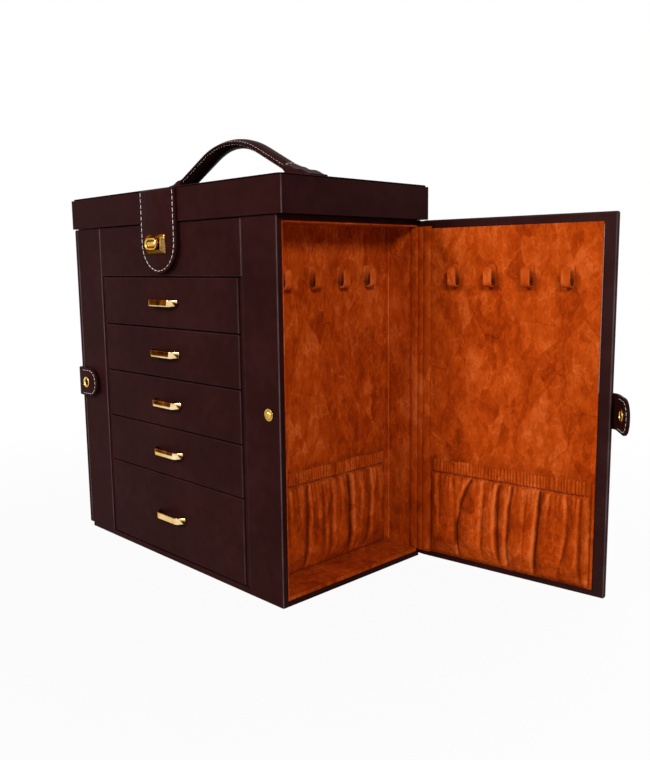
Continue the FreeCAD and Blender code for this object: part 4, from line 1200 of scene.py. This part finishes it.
def makeHinges(look):
    for name, side in sides.items():
        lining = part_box("left_compartment_lining")
        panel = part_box("left_door_panel")
        wallX, back = -lining[0].x, lining[1].y - look["lining"]
        inside = -panel[1].x
        foot, head = lining[0].z + look["foot"], lining[1].z - look["head"]
        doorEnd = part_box("left_door_lining")[1].y

        def hung(x, y):  # a place on the shut right door, where the door stands at rest
            return doorSwing @ Vector((x, y, 0)) if side > 0 else Vector((-x, y, 0))

        start = Vector((side * (wallX - look["wallLeaf"]), back - look["wallGap"], 0))
        corner = Vector((side * wallX, back - look["wallGap"], 0))
        leaf = hung(inside - look["doorGap"], panel[1].y - look["doorLeaf"])
        finish = hung(inside - look["doorGap"], doorEnd + look["short"])
        path = [start + (corner - start) * step / 8 for step in range(8)] + bezier(
            [corner, corner + (corner - start) * 0.4, leaf + (leaf - finish) * 0.4, leaf], 20) + [
            leaf + (finish - leaf) * step / 8 for step in range(1, 9)]

        def place(u, v):
            spot = u * (len(path) - 1)
            index = min(int(spot), len(path) - 2)
            along = (path[index + 1] - path[index]).normalized()
            point = path[index] + (path[index + 1] - path[index]) * (spot - index)
            inward = Vector((along.y, -along.x, 0)) * side
            ends = smoothStep(0, 0.08, u) * smoothStep(0, 0.08, 1 - u)
            ridge = look["ridge"] * abs(math.sin(u * math.pi * 3)) ** 0.6 * ends
            wave = look["wave"] * noise.noise(Vector((u * 3, v * 14, side * 5.0)))
            point = point + inward * (ridge + wave)
            return Vector((point.x, point.y, foot + v * (head - foot)))

        cloth = mouldedGrid(name + "HingeCloth", look["columns"], look["rows"], place)
        thicken(cloth, look["cloth"], look["clothEdge"], 1)
        finishPiece(cloth, softSuede, "suede", None, [f"{name}_hinge_strip"], 60)
        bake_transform(cloth)

        # a welt in the corner where the compartment's lining turns on to the back; its suede is painted lighter, a
        # painted highlight along the corner
        inner = abs(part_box(f"{name}_compartment_hooks")[0 if side > 0 else 1].x)
        half = look["welt"] / 2
        inset = half + look["weltGap"]
        weltX, weltY = side * (inner + inset), back - inset
        welt = addBox(name + "CornerWelt", (weltX - half, weltY - half, foot),
                      (weltX + half, weltY + half, head))
        bevelled(welt, look["welt"] * look["weltRound"], 3)
        finishPiece(welt, pipedSuede, "suede", "cabinet")

        # leather behind the cloth, where it ends short of the door's foot and head
        bend = path[8:29]
        rear = []
        for index, point in enumerate(bend):
            along = (bend[min(index + 1, len(bend) - 1)] - bend[max(index - 1, 0)]).normalized()
            rear.append(point - Vector((along.y, -along.x, 0)) * side * look["behind"])
        ends = []
        for bottom, top in ((panel[0].z + look["short"], foot + look["overlap"]),
                            (head - look["overlap"], panel[1].z - look["short"])):
            level = Vector((0, 0, (bottom + top) / 2))
            strip = bentStrip("gusset", [point + level for point in rear], (0, 0, 1), top - bottom)
            ends.append(thicken(strip, look["leather"], look["gussetEdge"]))
        gusset = finishPiece(joined(name + "HingeGusset", ends), strapLeather, "leather")
        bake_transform(gusset)

        # the leather turns round the outer rear corner
        end = panel[1].y
        outside = -panel[0].x
        skin = look["leather"] / 2
        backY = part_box("back_panel")[1].y + skin
        path = [Vector((side * (outside - look["spine"]), backY, 0)),
                Vector((side * (outside - look["bendFrom"]), backY, 0))]
        turn = bezier([path[1], Vector((side * (outside - look["bendPull"]), end + skin * 1.2, 0)),
                       hung(outside + skin * 1.2, end - look["bendPull"]),
                       hung(outside + skin, end - look["bendTo"])], 10)
        path += turn[1:] + [hung(outside + skin, end - look["spine"])]
        level = Vector((0, 0, (panel[0].z + panel[1].z) / 2))
        spine = bentStrip(name + "DoorSpine", [point + level for point in path], (0, 0, 1),
                          panel[1].z - panel[0].z - look["spineShort"])
        thicken(spine, look["leather"], look["leatherEdge"])
        finishPiece(spine, strapLeather, "leather")
        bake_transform(spine)

    print("door hinges made")


def makeLidSpine(look, bend):
    low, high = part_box("lid_hinge_strip")
    carcassBack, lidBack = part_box("back_panel")[1].y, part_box("lid_shell")[1].y
    hinge = Vector(joints["lid_hinge"]["pos_m"])
    skin = look["leather"] / 2
    lowY, highY = carcassBack + skin, lidBack + skin
    path = [Vector((0, lowY, low.z)), Vector((0, lowY, hinge.z - bend["bendFrom"]))]
    path += bezier([path[1], (0, lowY, hinge.z - bend["pull"]), (0, highY, hinge.z - bend["pull"]),
                    (0, highY, hinge.z + bend["bendTo"])], 8)[1:]
    path.append(Vector((0, highY, high.z)))
    spine = bentStrip("lidSpine", path, (1, 0, 0), high.x - low.x)
    thicken(spine, look["leather"], look["leatherEdge"])
    finishPiece(spine, strapLeather, "leather", None, ["lid_hinge_strip"])
    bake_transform(spine)
    print("lid hinge made")


makeHinges(hingeLook)
makeLidSpine(hingeLook, lidSpineLook)


# tabs with ring snaps, and the studs that they close over

tabLook = {"thick": 2.2 * mm, "skin": 1.0 * mm, "edge": 0.6 * mm, "round": 12 * mm, "root": 20 * mm,
           "rootIn": 3 * mm, "rootPull": 5.5 * mm, "shoulder": 8 * mm, "shoulderPull": 6 * mm,
           "still": 1 * mm, "seam": 2.3 * mm, "seamLength": 25 * mm, "threadLift": 0.08 * mm,
           "pitch": 3.8 * mm, "thread": 0.85}
snapLook = {"cap": 5.0 * mm, "capHigh": 1.6 * mm, "ring": 1.1 * mm, "wall": 0.3 * mm, "dish": 1.1 * mm,
            "socket": 4.6 * mm, "socketHigh": 0.7 * mm, "socketRing": 0.9 * mm, "socketWall": 0.25 * mm,
            "socketDish": 0.9 * mm, "edge": 0.45 * mm, "darkTo": 1.0 * mm}
studLook = {"rim": 4.6 * mm, "rimHigh": 0.7 * mm, "rimEdge": 0.25 * mm, "dome": 3.4 * mm,
            "domeHigh": 1.8 * mm}


def dishDisc(disc, way, ring, wall, depth):  # sinks the middle of a disc's front (-1) or rear (1) face
    editPiece(disc)
    pick(disc, "FACE", lambda face: face.normal.y * way > 0.9)
    bpy.ops.mesh.inset(thickness=ring)
    bpy.ops.mesh.inset(thickness=wall, depth=-depth)
    clearSelection()


def ringSnap(name, centre, thick, look):
    # a ring cap in front of the leather and a socket behind it; the axis runs along Y
    front = centre - Vector((0, (thick + look["capHigh"]) / 2, 0))
    cap = addDisc(name, front, look["cap"], look["capHigh"], 40)
    dishDisc(cap, -1, look["ring"], look["wall"], look["dish"])
    rear = centre + Vector((0, look["socketHigh"] / 2, 0))
    socket = addDisc(name + "Socket", rear, look["socket"], thick + look["socketHigh"], 40)
    dishDisc(socket, 1, look["socketRing"], look["socketWall"], look["socketDish"])
    return bevelled(joined(name, [cap, socket]), look["edge"], 3, 50)


def makeTabs(look, snapLook):
    low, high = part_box("left_tab")
    level = (low.z + high.z) / 2
    tall = high.z - low.z
    thick = look["thick"]
    front = low.y + thick / 2
    tipX = -high.x  # distance of the tip from the centre
    pivot = Vector(joints["left_tab_lift"]["pos_m"])
    outside = -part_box("left_door_panel")[0].x
    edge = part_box("left_door_panel")[0].y
    snapLow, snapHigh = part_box("left_tab_snap")
    snapX = -(snapLow.x + snapHigh.x) / 2
    for name, side in sides.items():
        hinge = Vector((side * -pivot.x, pivot.y, level))
        # the joint's upper limit is the angle from rest to the tab wrapped on its stud
        relax = turnAbout(hinge, joints["right_tab_wrap"]["range_deg"][1] if side > 0 else 0.0)
        place = doorSwing if side > 0 else Matrix.Identity(4)

        def flap(x):
            return relax @ Vector((side * x, front, level))

        root = Vector((side * (outside + look["skin"]), edge + look["rootIn"], level))
        shoulder = flap(outside - look["shoulder"])
        lead = (shoulder - flap(tipX)).normalized()
        path = [flap(tipX)] + bezier([shoulder, shoulder + lead * look["shoulderPull"],
                                      root - Vector((0, look["rootPull"], 0)), root], 14)
        path.append(root + Vector((0, look["root"], 0)))
        tab = bentStrip(name + "Tab", path, (0, 0, 1), tall)
        corners = [flap(tipX) + Vector((0, 0, rise)) for rise in (-tall / 2, tall / 2)]
        roundEnd(tab, corners, look["round"], 10)
        thicken(tab, thick, look["edge"], 3)
        along = (flap(outside) - flap(tipX)).normalized()
        face = relax.to_3x3() @ Vector((0, -1, 0))
        seams = []
        for way in (1, -1):  # the thread shows on both faces
            tip = flap(tipX) + face * way * (thick / 2 + look["threadLift"])
            line = tongueSeam(tip, along, (0, 0, 1), look["seamLength"], tall, look["round"], look["seam"])
            seams.append(sew("tabSeam", line, lambda share: face * way, look["pitch"], look["thread"]))
        seam = joined(name + "TabStitches", seams)
        snap = ringSnap(name + "TabSnap", Vector((side * snapX, front, level)), thick, snapLook)
        dish = [polygon.index for polygon in snap.data.polygons
                if polygon.normal.y < -0.9 and polygon.center.y > front - thick / 2 - snapLook["darkTo"]]
        snap.data.transform(relax)
        for piece in (tab, seam, snap):
            piece.data.transform(place)
        finishPiece(tab, strapLeather, "leather", None, [f"{name}_tab"])
        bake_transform(tab)
        finishPiece(seam, creamThread, "leather", f"{name}_tab")
        finishPiece(snap, goldWithFaintPaintedReflection, "brass", f"{name}_tab", [f"{name}_tab_snap"])
        darken(snap, strapLeather, lambda face: face.index in dish)

    print("tabs made")


def makeStuds(look):
    low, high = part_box("snap_studs")
    half = look["rimHigh"] / 2
    studs = []
    for side in (-1, 1):
        centre = Vector((side * (high.x - look["rim"]), high.y - half, (low.z + high.z) / 2))
        rim = addDisc("studRim", centre, look["rim"], look["rimHigh"], 40)
        clearSelection()
        bpy.ops.mesh.primitive_uv_sphere_add(segments=32, ring_count=16, radius=look["dome"],
                                             location=centre - Vector((0, half, 0)))
        dome = newest("studDome")
        dome.scale = (1, look["domeHigh"] / look["dome"], 1)
        studs += [bevelled(rim, look["rimEdge"], 3), settle(dome)]
    finishPiece(joined("snapStuds", studs), goldWithFaintPaintedReflection, "brass", "cabinet", ["snap_studs"])
    print("studs made")


makeTabs(tabLook, snapLook)
makeStuds(studLook)


# ring rolls in the upper tray

rollLook = {"pitch": 21 * mm, "gap": 0.8 * mm, "count": 7, "rows": 40, "around": 22, "narrow": 0.05,
            "wrinkle": 0.25 * mm}


def makeRolls(look):
    low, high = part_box("ring_rolls")
    half = (look["pitch"] - look["gap"]) / 2
    members = []
    for number in range(look["count"]):
        middle = low.y + half + number * look["pitch"]

        def place(u, v):
            turn = math.pi * u
            swell = 1 - look["narrow"] * (2 * abs(v - 0.5)) ** 6
            side = -math.cos(turn)
            rise = math.sin(turn) ** 0.55
            y = middle + half * math.copysign(abs(side) ** 0.6, side) * swell
            z = low.z + (high.z - low.z) * rise * swell
            z += look["wrinkle"] * noise.noise(Vector((v * 9, u * 4, number * 3.7))) * rise
            return Vector((low.x + v * (high.x - low.x), y, max(low.z, z)))

        roll = mouldedGrid(f"roll{number}", look["around"], look["rows"], place)
        editPiece(roll)
        pickOpenEdges()
        bpy.ops.mesh.edge_face_add()
        clearSelection()
        members.append(outward(roll))
    rolls = finishPiece(joined("ringRolls", members), softSuede, "suede", "cabinet", ["ring_rolls"], 50)
    print("ring rolls made")


makeRolls(rollLook)


# camera, floor and light

cameraLook = {"place": (572.9, -452.86, 252.93), "yaw": 45.771, "pitch": 8.141, "roll": -0.688, "lens": 38.27,
              "sensor": 36, "nearest": 0.01}


def makeCamera(look):
    yaw, pitch, roll = (math.radians(look[name]) for name in ("yaw", "pitch", "roll"))
    forward = Vector((-math.sin(yaw) * math.cos(pitch), math.cos(yaw) * math.cos(pitch), -math.sin(pitch)))
    beside = Vector((math.cos(yaw), math.sin(yaw), 0))
    above = beside.cross(forward)
    right = beside * math.cos(roll) + above * math.sin(roll)
    top = above * math.cos(roll) - beside * math.sin(roll)
    clearSelection()
    bpy.ops.object.camera_add()
    camera = bpy.context.object
    camera.name = "photoCamera"
    camera.matrix_world = Matrix.Translation(Vector(look["place"]) * mm) @ Matrix(
        (right, top, -forward)).transposed().to_4x4()
    camera.data.sensor_width = look["sensor"]
    camera.data.lens = look["lens"]
    camera.data.clip_start = look["nearest"]
    scene.camera = camera


makeCamera(cameraLook)

stageLook = {"floor": 8.0, "floorColour": (0.36, 0.36, 0.36, 1), "floorRough": 0.55, "world": 0.05,
             "seen": 0.95, "near": 0.25, "far": 0.65}
lampLook = [
    {"name": "keyLamp", "place": (-0.25, -1.80, 1.15), "aim": (0, 0, 0.18), "size": 0.6, "power": 26},
    {"name": "sideLamp", "place": (1.56, -1.14, 1.02), "aim": (0.15, 0, 0.18), "size": 0.4, "power": 22},
    {"name": "backLamp", "place": (0.5, 1.7, 1.2), "aim": (0, 0, 0.18), "size": 1.0, "power": 26},
]


def seenRays(tree):  # 1 for rays from the camera, and for those that a mirror or a glass sends on
    ray = addNode(tree, "LightPath").outputs
    further = sums(tree, "MAXIMUM", ray["Is Glossy Ray"], ray["Is Transmission Ray"])
    return sums(tree, "MAXIMUM", ray["Is Camera Ray"], further)


def makeStage(look, lamps):
    clearSelection()
    bpy.ops.mesh.primitive_plane_add(size=look["floor"], location=(0, 0, 0))
    floor = newest("floor")
    material, tree, shader = newMaterial("paleFloor", Base_Color=look["floorColour"],
                                         Roughness=look["floorRough"])
    seen = seenRays(tree)
    glow = addNode(tree, "Emission", {"Color": (1, 1, 1, 1), "Strength": 1.0}).outputs[0]
    # the shadow shows near the object, and the floor runs out to plain white
    reach = vectorSums(tree, "LENGTH", addNode(tree, "TexCoord").outputs["Object"])["Value"]
    fade = remap(tree, reach, look["near"], look["far"], look["seen"], 1.0)
    blend = addNode(tree, "MixShader", {0: sums(tree, "MULTIPLY", seen, fade), 1: shader.outputs[0], 2: glow})
    tree.links.new(blend.outputs[0], tree.nodes["Material Output"].inputs["Surface"])
    floor.data.materials.append(material)

    world = bpy.data.worlds.new("studio")
    scene.world = world
    world.use_nodes = True
    tree = world.node_tree
    ground = tree.nodes["Background"]
    ground.inputs["Color"].default_value = (1, 1, 1, 1)
    feedNode(tree, ground, {"Strength": remap(tree, seenRays(tree), 0.0, 1.0, look["world"], 1.0)})

    for lamp in lamps:
        clearSelection()
        bpy.ops.object.light_add(type="AREA", location=lamp["place"])
        light = bpy.context.object
        light.name = lamp["name"]
        light.data.energy = lamp["power"]
        light.data.size = lamp["size"]
        aim = Vector(lamp["aim"]) - Vector(lamp["place"])
        light.rotation_euler = aim.to_track_quat("-Z", "Y").to_euler()


makeStage(stageLook, lampLook)
scene.view_settings.view_transform = "Standard"
print("stage set")
